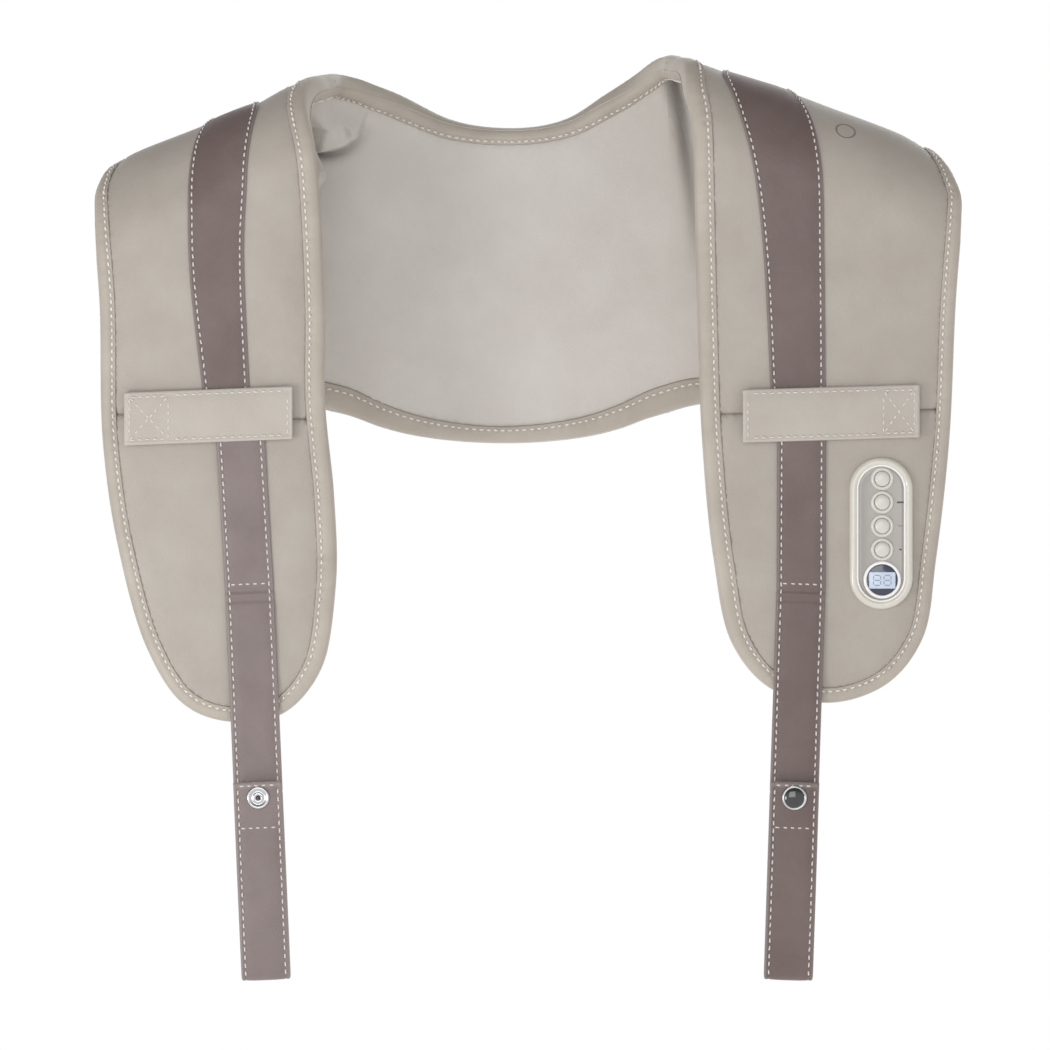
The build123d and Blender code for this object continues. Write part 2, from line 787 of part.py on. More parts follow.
def half(whole, keep):
    """The part of a cover above or below the seam across the chest panel."""
    with BuildPart() as piece:
        add(whole)
        split(bisect_by=Plane.XY.offset(SEAM_Z), keep=keep)
    return piece


def edge_binding():
    """The tape round every edge: one solid for the back panel and one for each side."""
    hems = [cut(back_shell(-BINDING_PROUD, PAD + 2 * BINDING_PROUD, back_blank()).part,
                back_blank(BINDING_WIDTH - PLY_GAP)).part]
    for side in (LEFT, RIGHT):
        whole = side_shell(side, -BINDING_PROUD, PAD + 2 * BINDING_PROUD, side_blank(side))
        hems.append(cut(whole.part, side_blank(side, BINDING_WIDTH - PLY_GAP)).part)
    with BuildPart() as binding:
        add(hems)
    return binding


def build_back():
    panel = back_blank(BINDING_WIDTH)
    save(back_shell(0, LEATHER, panel), "back_cover")
    save(back_shell(FOAM_DEPTH, FOAM, panel), "back_foam")
    save(back_shell(LINING_DEPTH, LINING, panel), "back_lining")
    save(edge_binding(), "edge_binding")


def build_side(side):
    panel = side_blank(side, BINDING_WIDTH)
    cover = side_shell(side, 0, LEATHER, panel)
    foam = side_shell(side, FOAM_DEPTH, FOAM, panel)
    lining = side_shell(side, LINING_DEPTH, LINING, panel)
    if side is LEFT:
        cover = cut(cover.part, control_pocket())
        foam = cut(foam.part, control_pocket())
    save(half(cover.part, Keep.TOP), f"{side.name}_shoulder_cover")
    save(half(cover.part, Keep.BOTTOM), f"{side.name}_chest_cover")
    save(foam, f"{side.name}_foam")
    save(cut(lining.part, module_window(side)), f"{side.name}_lining")
    save(side_shell(side, -0.05 - STRIP, STRIP, strip_blank(side)), f"{side.name}_shoulder_strip")
    save(pouch(side), f"{side.name}_node_cover")


def build_module(side):
    save(module_tray(side), f"{side.name}_module_tray")
    save(module_lid(side), f"{side.name}_module_lid")
    save(motor(side), f"{side.name}_motor")
    save(worm(side), f"{side.name}_worm")
    for which, place in enumerate(("outer", "inner")):
        save(wheel(side, which), f"{side.name}_{place}_wheel")
        save(nodes(side, which), f"{side.name}_{place}_nodes")


def build_straps(side):
    save(chest_strap(side), f"{side.name}_chest_strap")
    save(hanging_strap(side), f"{side.name}_hanging_strap")
    save(loop_leaf(side), f"{side.name}_loop_leaf")
    save(loop_fold(side), f"{side.name}_loop_fold")
    save(snap_stud(side), f"{side.name}_snap_stud")
    save(snap_cap(side), f"{side.name}_snap_cap")
    save(keeper_flap(side), f"{side.name}_keeper_flap")


def build_controls():
    save(control_base(), "control_base")
    save(control_bezel(), "control_bezel")
    save(control_face(), "control_face")
    save(display_lens(), "display_lens")
    save(display_module(), "display_module")
    save(control_board(), "control_board")
    for name, height in KEY_HEIGHTS.items():
        save(key(height), f"{name}_key")
    save(power_inlet(), "power_inlet")


build_back()
for one in (LEFT, RIGHT):
    build_side(one)
    build_module(one)
    build_straps(one)
save(keeper_anchors(), "keeper_anchors")
build_controls()
save(case_screws(), "case_screws")
save(axles(), "axles")
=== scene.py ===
"""Looks of the shiatsu neck and shoulder massage shawl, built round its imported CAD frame.

Lengths are millimetres until a mesh is made.  Every pad, tape, strip and stitch is drawn flat, in the
pattern it would be cut from, and one bend per pad then lays it over the shoulder.
"""
import json
import math

import bmesh
import bpy
import numpy as np
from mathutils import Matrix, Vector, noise
from mathutils.geometry import delaunay_2d_cdt


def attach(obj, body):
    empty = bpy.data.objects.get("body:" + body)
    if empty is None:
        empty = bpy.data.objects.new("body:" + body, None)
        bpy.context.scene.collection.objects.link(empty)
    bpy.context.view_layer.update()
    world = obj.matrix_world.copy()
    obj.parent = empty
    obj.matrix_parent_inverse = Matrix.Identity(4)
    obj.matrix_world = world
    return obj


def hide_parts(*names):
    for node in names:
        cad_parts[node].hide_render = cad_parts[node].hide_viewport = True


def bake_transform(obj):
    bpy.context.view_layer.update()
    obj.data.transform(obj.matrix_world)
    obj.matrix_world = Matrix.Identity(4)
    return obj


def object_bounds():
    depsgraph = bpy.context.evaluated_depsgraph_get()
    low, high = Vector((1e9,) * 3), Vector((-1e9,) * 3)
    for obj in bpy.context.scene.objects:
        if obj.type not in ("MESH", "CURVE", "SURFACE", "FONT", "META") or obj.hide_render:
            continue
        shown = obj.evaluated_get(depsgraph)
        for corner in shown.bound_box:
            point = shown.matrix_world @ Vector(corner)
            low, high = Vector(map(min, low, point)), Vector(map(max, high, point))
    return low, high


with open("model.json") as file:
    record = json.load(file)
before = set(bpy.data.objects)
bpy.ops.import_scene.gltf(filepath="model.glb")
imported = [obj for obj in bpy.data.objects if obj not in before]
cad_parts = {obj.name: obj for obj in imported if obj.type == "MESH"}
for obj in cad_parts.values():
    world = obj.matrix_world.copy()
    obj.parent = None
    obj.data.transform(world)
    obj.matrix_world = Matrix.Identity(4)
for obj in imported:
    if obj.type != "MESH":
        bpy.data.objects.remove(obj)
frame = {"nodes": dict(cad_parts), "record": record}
CAD_BOX = [list(corner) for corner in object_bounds()]

MM = 0.001
HALF_DEPTH = 76.0
CORNER = 48.0
FLAT = HALF_DEPTH - CORNER
PAD = 12.0
TAPE = 11.5
VIEW_WIDTH = 630.0
CAMERA_AWAY = 6000.0
CAMERA_X, CAMERA_Z = -0.6, -186.0


# ---------------------------------------------------------------- materials
def colour(shade):
    """Scene-linear colour from an sRGB one given out of 255."""
    values = [channel / 255 for channel in shade]
    return [v / 12.92 if v <= 0.04045 else ((v + 0.055) / 1.055) ** 2.4 for v in values] + [1.0]


class Nodes:
    """Short names for building a node tree."""

    def __init__(self, name):
        self.material = bpy.data.materials.new(name)
        self.material.use_nodes = True
        self.tree = self.material.node_tree
        self.shader = self.tree.nodes["Principled BSDF"]
        self.place = self.add("ShaderNodeTexCoord").outputs["Object"]

    def add(self, kind, **values):
        node = self.tree.nodes.new(kind)
        for key, value in values.items():
            if hasattr(node, key):
                setattr(node, key, value)
            else:
                node.inputs[key.replace("_", " ")].default_value = value
        return node

    def link(self, source, target):
        self.tree.links.new(source, target)

    def noise(self, scale, detail=3.0, rough=0.5):
        node = self.add("ShaderNodeTexNoise", Scale=scale, Detail=detail, Roughness=rough)
        self.link(self.place, node.inputs["Vector"])
        return node.outputs["Fac"]

    def cells(self, scale, feature="F1"):
        node = self.add("ShaderNodeTexVoronoi", Scale=scale, feature=feature)
        self.link(self.place, node.inputs["Vector"])
        return node.outputs["Distance"]

    def ramp(self, source, stops):
        node = self.add("ShaderNodeValToRGB")
        elements = node.color_ramp.elements
        while len(elements) < len(stops):
            elements.new(0.5)
        for element, (place, shade) in zip(elements, stops):
            element.position = place
            element.color = shade
        self.link(source, node.inputs["Fac"])
        return node.outputs["Color"]

    def mix(self, factor, first, second):
        node = self.add("ShaderNodeMix", data_type="RGBA")
        self.link(factor, node.inputs["Factor"])
        for socket, value in ((node.inputs[6], first), (node.inputs[7], second)):
            if isinstance(value, list):
                socket.default_value = value
            else:
                self.link(value, socket)
        return node.outputs[2]

    def span(self, source, low, high):
        node = self.add("ShaderNodeMapRange")
        node.inputs["To Min"].default_value = low
        node.inputs["To Max"].default_value = high
        self.link(source, node.inputs["Value"])
        return node.outputs["Result"]

    def bump(self, *layers):
        """Each layer is a height, its strength and its depth in metres, the coarsest first."""
        normal = None
        for height, strength, depth in layers:
            node = self.add("ShaderNodeBump", Strength=strength, Distance=depth)
            self.link(height, node.inputs["Height"])
            if normal is not None:
                self.link(normal, node.inputs["Normal"])
            normal = node.outputs["Normal"]
        self.link(normal, self.shader.inputs["Normal"])

    def set(self, **values):
        for key, value in values.items():
            self.shader.inputs[key.replace("_", " ")].default_value = value

    def drive(self, **sources):
        for key, source in sources.items():
            self.link(source, self.shader.inputs[key.replace("_", " ")])


def leather(name, base, light, rough=0.5, grain=900.0, edge=None):
    """Smooth coated leather cloth: fine pebbling, faint mottling, and a second colour at marked points:
    painted shade in seams and folds on some leathers, the colour of cut edges on others.
    """
    made = Nodes(name)
    shade = made.ramp(made.noise(26, 4, 0.6), [(0.3, colour(base)), (0.72, colour(light))])
    if edge is not None:
        mark = made.add("ShaderNodeAttribute", attribute_name="edge").outputs["Fac"]
        shade = made.mix(mark, shade, colour(edge))
    made.drive(Base_Color=shade, Roughness=made.span(made.noise(60, 3), rough - 0.07, rough + 0.08))
    made.set(Specular_IOR_Level=0.42, Sheen_Weight=0.06, Sheen_Roughness=0.4)
    made.bump((made.noise(140, 4, 0.55), 0.25, 0.0006), (made.cells(grain), 0.32, 0.00022),
              (made.noise(grain * 2.2, 2), 0.2, 0.0001))
    return made.material


def cloth(name, base, light, threads=1400.0):
    """Knitted or woven cloth: crossed waves for the threads."""
    made = Nodes(name)
    waves = []
    for direction in ("X", "Z"):
        wave = made.add("ShaderNodeTexWave", bands_direction=direction, Scale=threads / 6, Distortion=0.6)
        made.link(made.place, wave.inputs["Vector"])
        waves.append(wave.outputs["Fac"])
    weave = made.add("ShaderNodeMath", operation="MULTIPLY")
    made.link(waves[0], weave.inputs[0])
    made.link(waves[1], weave.inputs[1])
    made.drive(Base_Color=made.mix(weave.outputs[0], colour(base), colour(light)))
    made.set(Roughness=0.85, Sheen_Weight=0.3, Sheen_Roughness=0.5)
    made.bump((made.noise(70, 3), 0.3, 0.0008), (weave.outputs[0], 0.5, 0.00025))
    return made.material


def plastic(name, shade, rough, coat=0.0, metal=0.0):
    """Moulded plastic or plated metal: nearly even colour with a faint moulded texture."""
    made = Nodes(name)
    base = colour(shade)
    darker = [channel * 0.92 for channel in base[:3]] + [1.0]
    made.drive(Base_Color=made.mix(made.noise(300, 3), darker, base),
               Roughness=made.span(made.noise(180, 4), rough * 0.85, rough * 1.2))
    made.set(Coat_Weight=coat, Coat_Roughness=0.08, Metallic=metal)
    made.bump((made.noise(2200, 2), 0.12, 0.00005))
    return made.material


# SEAM_SHADE is painted shade: the shell leather gets it in its seam grooves and pressed ring, the edge tape
# where its edges tuck under and in its stitch lines
SEAM_SHADE = (98, 90, 82)
GREIGE = leather("shell_leather", (162, 154, 145), (171, 164, 155), 0.45, edge=SEAM_SHADE)
TAPE_LEATHER = leather("edge_tape", (167, 158, 147), (180, 172, 161), 0.46, edge=SEAM_SHADE)
# the lining's second colour is painted shade for its deep neck folds
LINING = leather("lining_leather", (193, 187, 181), (200, 195, 189), 0.5, 1100, edge=(70, 62, 56))
TAUPE = leather("band_leather", (99, 84, 81), (111, 96, 93), 0.43, 800, edge=(126, 116, 113))
# a lighter copy of the band leather, edges included: painted light for the more brightly lit right strap
TAUPE_PAINTED_LIT = leather("band_leather_pale", (117, 104, 102), (130, 117, 115), 0.43, 800, edge=(140, 130, 127))
KEEPER_LEATHER = leather("keeper_leather", (171, 163, 154), (180, 173, 164), 0.46, edge=(184, 177, 168))
THREAD_PALE = cloth("thread_pale", (222, 217, 209), (240, 236, 230), 5000)
THREAD_WHITE = cloth("thread_white", (212, 206, 200), (230, 225, 220), 5000)
NODE_CLOTH = cloth("node_cloth", (174, 166, 157), (184, 177, 168), 4200)
STEEL = plastic("steel", (190, 190, 192), 0.28, metal=1.0)
CHROME = plastic("snap_chrome", (196, 196, 199), 0.14, metal=1.0)
RIM = plastic("rim_plastic", (208, 203, 192), 0.2, coat=0.7)
FACE = plastic("face_plastic", (152, 146, 140), 0.2, coat=0.6)
KEY = plastic("key_rubber", (206, 202, 195), 0.3, coat=0.4)
LENS = plastic("lens_blue", (28, 38, 66), 0.1, coat=0.8)
# dark cap of the left snap, also a dark disc painted in as the shade inside the right snap's hole
DARK_CAP_AND_HOLE_SHADE = plastic("dark_cap", (24, 23, 24), 0.08, coat=1.0)
SCREEN = plastic("screen", (196, 208, 226), 0.25, coat=0.4)
COLLAR = plastic("key_collar", (204, 200, 193), 0.2, coat=0.6)
MARK = plastic("printed_mark", (72, 78, 66), 0.4)
SEGMENT = plastic("lcd_segment", (140, 152, 176), 0.4)
# a white ring round the display, also used as a painted highlight along the control rim's inner edge
WHITE_RING_AND_PAINTED_HIGHLIGHT = plastic("bright_ring", (238, 237, 234), 0.15, coat=0.6)

SLOT_LOOKS = {
    "shell_leather": GREIGE, "edge_tape": TAPE_LEATHER, "band_leather": TAUPE, "lining": LINING,
    "node_cloth": NODE_CLOTH, "foam": cloth("foam", (226, 220, 200), (236, 231, 214), 900),
    "steel": STEEL, "motor_can": STEEL, "snap_chrome": CHROME, "rim_plastic": RIM, "face_plastic": FACE,
    "key_rubber": KEY, "lens": LENS, "display": SCREEN,
}
for slot, shade, rough in (("case_plastic", (60, 60, 63), 0.5), ("gear_plastic", (228, 226, 214), 0.4),
                           ("node_rubber", (78, 74, 74), 0.62), ("board", (30, 92, 58), 0.4),
                           ("inlet_plastic", (26, 26, 27), 0.4)):
    SLOT_LOOKS[slot] = plastic(slot, shade, rough)


# ---------------------------------------------------------------- mesh helpers
def put(name, data):
    """A new object in the scene."""
    made = bpy.data.objects.new(name, data)
    bpy.context.scene.collection.objects.link(made)
    return made


def piece(name, points, faces, material, slot, body=None, hides=(), marks=None):
    """A smooth mesh from points in millimetres; marks is the edge attribute, one value per point, which
    weighs the material's second colour: painted shade on some leathers, a cut-edge colour on others.
    """
    mesh = bpy.data.meshes.new(name)
    mesh.from_pydata((np.asarray(points, float).reshape(-1, 3) * MM).tolist(), [], [list(f) for f in faces])
    mesh.validate()
    mesh.shade_smooth()
    mesh.materials.append(material)
    if marks is not None:
        layer = mesh.attributes.new("edge", "FLOAT", "POINT")
        layer.data.foreach_set("value", np.asarray(marks, np.float32).ravel())
    made = put(name, mesh)
    if body:
        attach(made, body)
    if hides:
        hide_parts(*hides)
    return made


def closed_piece(*args, **named):
    """A piece whose faces are turned outwards."""
    made = piece(*args, **named)
    shape = bmesh.new()
    shape.from_mesh(made.data)
    bmesh.ops.recalc_face_normals(shape, faces=shape.faces)
    shape.to_mesh(made.data)
    shape.free()
    made.data.shade_smooth()
    return made


def grid_faces(rows, columns, closed_rows=False, closed_columns=False):
    """Quads between neighbouring points of a grid stored row by row."""
    faces = []
    for row in range(rows if closed_rows else rows - 1):
        for column in range(columns if closed_columns else columns - 1):
            here, right = row * columns + column, row * columns + (column + 1) % columns
            below = (row + 1) % rows * columns
            faces.append((here, right, below + (column + 1) % columns, below + column))
    return faces


def tube_faces(rows, columns, start=0, first=True, last=True):
    """Quads round a tube of rings, and the faces over its two ends."""
    faces = grid_faces(rows, columns, closed_columns=True)
    if first:
        faces.append(tuple(reversed(range(columns))))
    if last:
        faces.append(tuple((rows - 1) * columns + i for i in range(columns)))
    return [tuple(start + i for i in face) for face in faces]


def unit(vectors):
    """The same directions, one long."""
    return vectors / (np.linalg.norm(vectors, axis=-1, keepdims=True) + 1e-12)


def directions(line):
    return unit(np.gradient(line, axis=0))


def run_of(line):
    """Distance along a line at each of its points."""
    return np.concatenate([[0], np.cumsum(np.linalg.norm(np.diff(line, axis=0), axis=1))])


def hill(distance, width):
    """1 where the distance is 0, and nearly 0 from twice the width on."""
    return np.exp(-(distance / width) ** 2)


def ease(share):
    return share * share * (3 - 2 * share)


def rounded_corners(steps):
    """The corners of a rounded rectangle: the signs of each one and the angles of its arc."""
    return [(x, y, angle) for x, y, start in ((1, 1, 0), (-1, 1, 90), (-1, -1, 180), (1, -1, 270))
            for angle in np.radians(np.linspace(start, start + 90, steps))]


def smooth_line(points, step):
    """Points every step along a centripetal Catmull-Rom curve through the given ones."""
    points = np.asarray(points, float)
    ends = np.vstack([2 * points[0] - points[1], points, 2 * points[-1] - points[-2]])
    line = []
    for a, b, c, d in zip(ends, ends[1:], ends[2:], ends[3:]):
        t0 = 0.0
        t1 = t0 + math.sqrt(np.linalg.norm(b - a)) + 1e-9
        t2 = t1 + math.sqrt(np.linalg.norm(c - b)) + 1e-9
        t3 = t2 + math.sqrt(np.linalg.norm(d - c)) + 1e-9
        t = np.linspace(t1, t2, 24, endpoint=False)[:, None]
        a1 = (t1 - t) / (t1 - t0) * a + (t - t0) / (t1 - t0) * b
        a2 = (t2 - t) / (t2 - t1) * b + (t - t1) / (t2 - t1) * c
        a3 = (t3 - t) / (t3 - t2) * c + (t - t2) / (t3 - t2) * d
        b1 = (t2 - t) / (t2 - t0) * a1 + (t - t0) / (t2 - t0) * a2
        b2 = (t3 - t) / (t3 - t1) * a2 + (t - t1) / (t3 - t1) * a3
        line.append((t2 - t) / (t2 - t1) * b1 + (t - t1) / (t2 - t1) * b2)
    return evenly(np.vstack([*line, points[-1:]]), step)


def sample(at, run, line):
    """The line's values at some distances, where run is the distance at each of its points."""
    return np.stack([np.interp(at, run, values) for values in line.T], -1)


def evenly(line, step):
    """The same line with points about step apart."""
    run = run_of(line)
    count = max(int(round(run[-1] / step)), 1)
    return sample(np.linspace(0, run[-1], count + 1), run, line)


def normals_of(line):
    """Unit vectors square to a flat line, to its left."""
    along = directions(line)
    return np.stack([-along[:, 1], along[:, 0]], 1)


def distance_to(points, line):
    """Distance from each flat point to a line of many short runs."""
    far = np.full(len(points), 1e9)
    for start in range(0, len(points), 4000):
        block = points[start:start + 4000]
        a, b = line[:-1], line[1:]
        run = b - a
        t = np.einsum("ijk,jk->ij", block[:, None] - a[None], run) / (np.sum(run * run, 1) + 1e-12)
        t = np.clip(t, 0, 1)
        close = a[None] + t[..., None] * run[None]
        far[start:start + 4000] = np.sqrt(((block[:, None] - close) ** 2).sum(2)).min(1)
    return far


def nearest(points, lines):
    """Distance from each flat point to the nearest of some lines."""
    return np.min([distance_to(points, line) for line in lines], axis=0)


def inside(points, loop):
    """Whether each flat point is inside a closed loop."""
    x, y = points[:, 0], points[:, 1]
    result = np.zeros(len(points), bool)
    for a, b in zip(loop, np.roll(loop, -1, 0)):
        crosses = (a[1] > y) != (b[1] > y)
        with np.errstate(divide="ignore", invalid="ignore"):
            result ^= crosses & (x < (b[0] - a[0]) * (y - a[1]) / (b[1] - a[1] + 1e-15) + a[0])
    return result


def soft(points, size, seed):
    """Smooth noise from -1 to 1 with features of about size mm."""
    return np.array([noise.noise((p[0] / size + seed, p[1] / size - seed, seed * 1.7)) for p in points]) * 1.6


# ---------------------------------------------------------------- the bends and the patterns
class Bend:
    """Lays pattern coordinates over a shoulder: q along the ridge, s across it, h out of the leather."""

    def __init__(self, start, end):
        start, end = np.array(start, float), np.array(end, float)
        self.along = (end - start) / np.linalg.norm(end - start)
        self.up = np.array((-self.along[1], self.along[0]))
        if self.up[1] < 0:
            self.up = -self.up
        self.top = start @ self.up
        self.neighbours = []

    def lay(self, flat, h=0.0):
        q, s = np.asarray(flat, float)[..., 0], np.asarray(flat, float)[..., 1]
        away = np.abs(s)
        turn = np.clip((away - FLAT) / CORNER, 0, math.pi / 2)
        down = np.maximum(away - FLAT - CORNER * math.pi / 2, 0)
        y = np.sign(s) * (np.minimum(away, FLAT) + (CORNER + h) * np.sin(turn))
        height = self.top - CORNER + (CORNER + h) * np.cos(turn) - down
        return np.stack([q * self.along[0] + height * self.up[0], y,
                         q * self.along[1] + height * self.up[1]], -1)

    def unlay(self, points, side):
        """Pattern coordinates of points (x, z) seen from the front, on side -1 (front) or 1 (back)."""
        points = np.asarray(points, float)
        q, height = points @ self.along, points @ self.up
        over = np.clip((height - self.top + CORNER) / CORNER, -1, 1)
        away = np.where(height >= self.top - CORNER, FLAT + CORNER * np.arccos(over),
                        FLAT + CORNER * math.pi / 2 + self.top - CORNER - height)
        return np.stack([q, side * away], -1)

    def at_x(self, x, s):
        """The pattern point on the bend whose x is x, at s."""
        level = self.lay(np.array([[0.0, s]]))[0]
        return np.array(((x - level[0]) / self.along[0], s))

    def level(self, x, s):
        """Pattern q of the bend's points at this x, for every s."""
        s = np.asarray(s, float)
        return (x - self.lay(np.stack([np.zeros_like(s), s], -1))[..., 0]) / self.along[0]

    def carry(self, flat, other, seam_x):
        """The same points in the pattern of the bend on the other side of a neck seam."""
        q, s = np.asarray(flat, float)[..., 0], np.asarray(flat, float)[..., 1]
        on_seam = self.level(seam_x, s)
        met = other.unlay(self.lay(np.stack([on_seam, s], -1))[..., [0, 2]], 1)[..., 1]
        past = (q - on_seam) * np.sign(self.along[0] * other.along[0])
        s = np.where(s > FLAT, met, s)
        return np.stack([other.level(seam_x, s) + past, s], -1)

    def drape(self, flat, h=0.0):
        """As lay, but near a neck seam the leather turns gently into the neighbouring bend."""
        flat = np.asarray(flat, float)
        places = self.lay(flat, h)
        for other, seam_x, toward, nape in self.neighbours:
            into = (flat[..., 0] - self.level(seam_x, flat[..., 1])) * np.sign(self.along[0]) * toward
            part, low = np.clip(0.5 + into / 60, 0, 1), np.clip((flat[..., 1] - 4) / 24, 0, 1)
            part, low = ease(part), ease(low)
            share = part * (low + (1 - low) * np.clip(into / 30, 0, 1))
            share = (1 - share if nape else share)[..., None]
            places = places * (1 - share) + other.lay(self.carry(flat, other, seam_x), h) * share
        return places


class Shoulder:
    """One side of the shawl: its bend, its outline and what is sewn on it.  x values are mirrored."""

    def __init__(self, name, sign, neck, ridge, fall, inner, tip, outer, neck_top, strips, seam):
        self.name, self.sign, self.neck = name, sign, neck
        run = math.tan(math.radians(fall))
        self.bend = Bend((sign * 180, ridge), (sign * 280, ridge - 100 * run))
        front = self.seen([*inner, *tip, *outer], -1)
        arm_back = self.seen([(259, 12), (261, -30), (256, -56), (240, -62)], 1)
        hem = self.seen([(180, -84), (neck + 30, -109), (neck, -116.5)], 1)
        over = np.linspace(front[-1], arm_back[0], 6)[1:-1]
        over[:, 0] = np.interp(over[:, 1], [-90, -28, 28, 90], [front[-1][0], self.arm_q(ridge, fall),
                                                                self.arm_q(ridge, fall), arm_back[0][0]])
        top = np.array([self.bend.at_x(sign * x, s) for x, s in neck_top])
        edge = np.vstack([top, front, over, arm_back, hem])
        self.edge = smooth_line(edge, 2.5)
        seam_line = np.array([self.bend.at_x(sign * neck, s)
                              for s in np.linspace(self.edge[-1][1], self.edge[0][1], 90)[1:-1]])
        self.loop = np.vstack([self.edge, seam_line])
        self.seam = np.vstack([self.edge[-1:], seam_line, self.edge[:1]])
        self.strips, self.lobe_seam = strips, seam

    def arm_q(self, ridge, fall):
        """Pattern q of the arm edge on top of the arch."""
        return self.bend.unlay([(self.sign * 249, ridge - 69 * math.tan(math.radians(fall)))], -1)[0][0]

    def seen(self, points, side):
        return self.bend.unlay([(self.sign * x, z) for x, z in points], side)


LEFT = Shoulder(
    "left", 1, 88, 65, 21,
    inner=[(97, 80), (100, 60), (103, -51), (106, -135), (113, -207)],
    tip=[(124, -257), (147, -284), (183, -292.5), (217, -281)],
    outer=[(238, -254), (246, -207), (254, -135), (258, -51), (262, 0), (262.5, 12), (258, 26)],
    neck_top=[(90, 0), (93, -20)],
    strips=([(119, 84), (137, 24), (142, -20), (147, -116)], [(164, 84), (178, 24), (179, -20), (180, -116)]),
    seam=(-120.5, -116),
)
RIGHT = Shoulder(
    "right", -1, 119, 61, 25,
    inner=[(133, 70), (127, 40), (124, 9), (121, -60), (121, -111), (115.5, -171), (114.5, -225)],
    tip=[(124, -274), (147, -299.5), (181, -303.5), (206, -293)],
    outer=[(227, -261), (245, -198), (254, -135), (256, -51), (260, 0), (260.5, 13), (254, 28)],
    neck_top=[(121, 0), (125, -20)],
    strips=([(161, 64), (167, 24), (169, -20), (165, -116)], [(191, 58), (203, 10), (202, -35), (193, -116)]),
    seam=(-124, -119),
)


class Nape:
    """The back panel between the two arches, in pattern coordinates of its own bend."""

    def __init__(self):
        start = RIGHT.bend.lay(RIGHT.bend.at_x(-RIGHT.neck, 0))
        end = LEFT.bend.lay(LEFT.bend.at_x(LEFT.neck, 0))
        self.bend = Bend((start[0], start[2]), (end[0], end[2]))
        seen = self.bend.unlay([(-99, 87), (-80, 80.5), (-45, 64), (-4, 59), (25, 65), (48, 79.5),
                                (60, 87), (69, 92.5)], 1)
        left_top = [self.bend.at_x(x, s) for x, s in ((78, 38), (84, 20), (88, 2))]
        right_top = [self.bend.at_x(x, s) for x, s in ((-119, 2), (-115, 20), (-109, 36))]
        self.collar = smooth_line(np.vstack([right_top, seen, left_top]), 2.5)
        self.hem = smooth_line(self.bend.unlay([(88, -117), (40, -131), (-14, -135.5), (-70, -130.5),
                                                (-119, -116)], 1), 2.5)
        left_seam = np.linspace(self.collar[-1], self.hem[0], 90)
        left_seam = np.array([self.bend.at_x(88, s) for s in left_seam[:, 1]])
        right_seam = np.linspace(self.hem[-1], self.collar[0], 90)
        right_seam = np.array([self.bend.at_x(-119, s) for s in right_seam[:, 1]])
        self.seams = (left_seam, right_seam)
        for side, x, toward in ((LEFT, 88, -1), (RIGHT, -119, 1)):
            self.bend.neighbours.append((side.bend, x, toward, True))
            side.bend.neighbours.append((self.bend, x, toward, False))
        self.loop = np.vstack([self.collar[:-1], left_seam[:-1], self.hem[:-1], right_seam[:-1]])


NAPE = Nape()


def gather(distance, along, pitch, depth, reach):
    """Small puckers square to a sewn edge, fading away from it."""
    return depth * np.sin(along * 2 * math.pi / pitch) * hill(distance, reach)


LEVEL = ((0, 1), (0, 0))
SADDLE = ((97, 117, 155, 202, 225), (0, -4, -2, 4, 2))


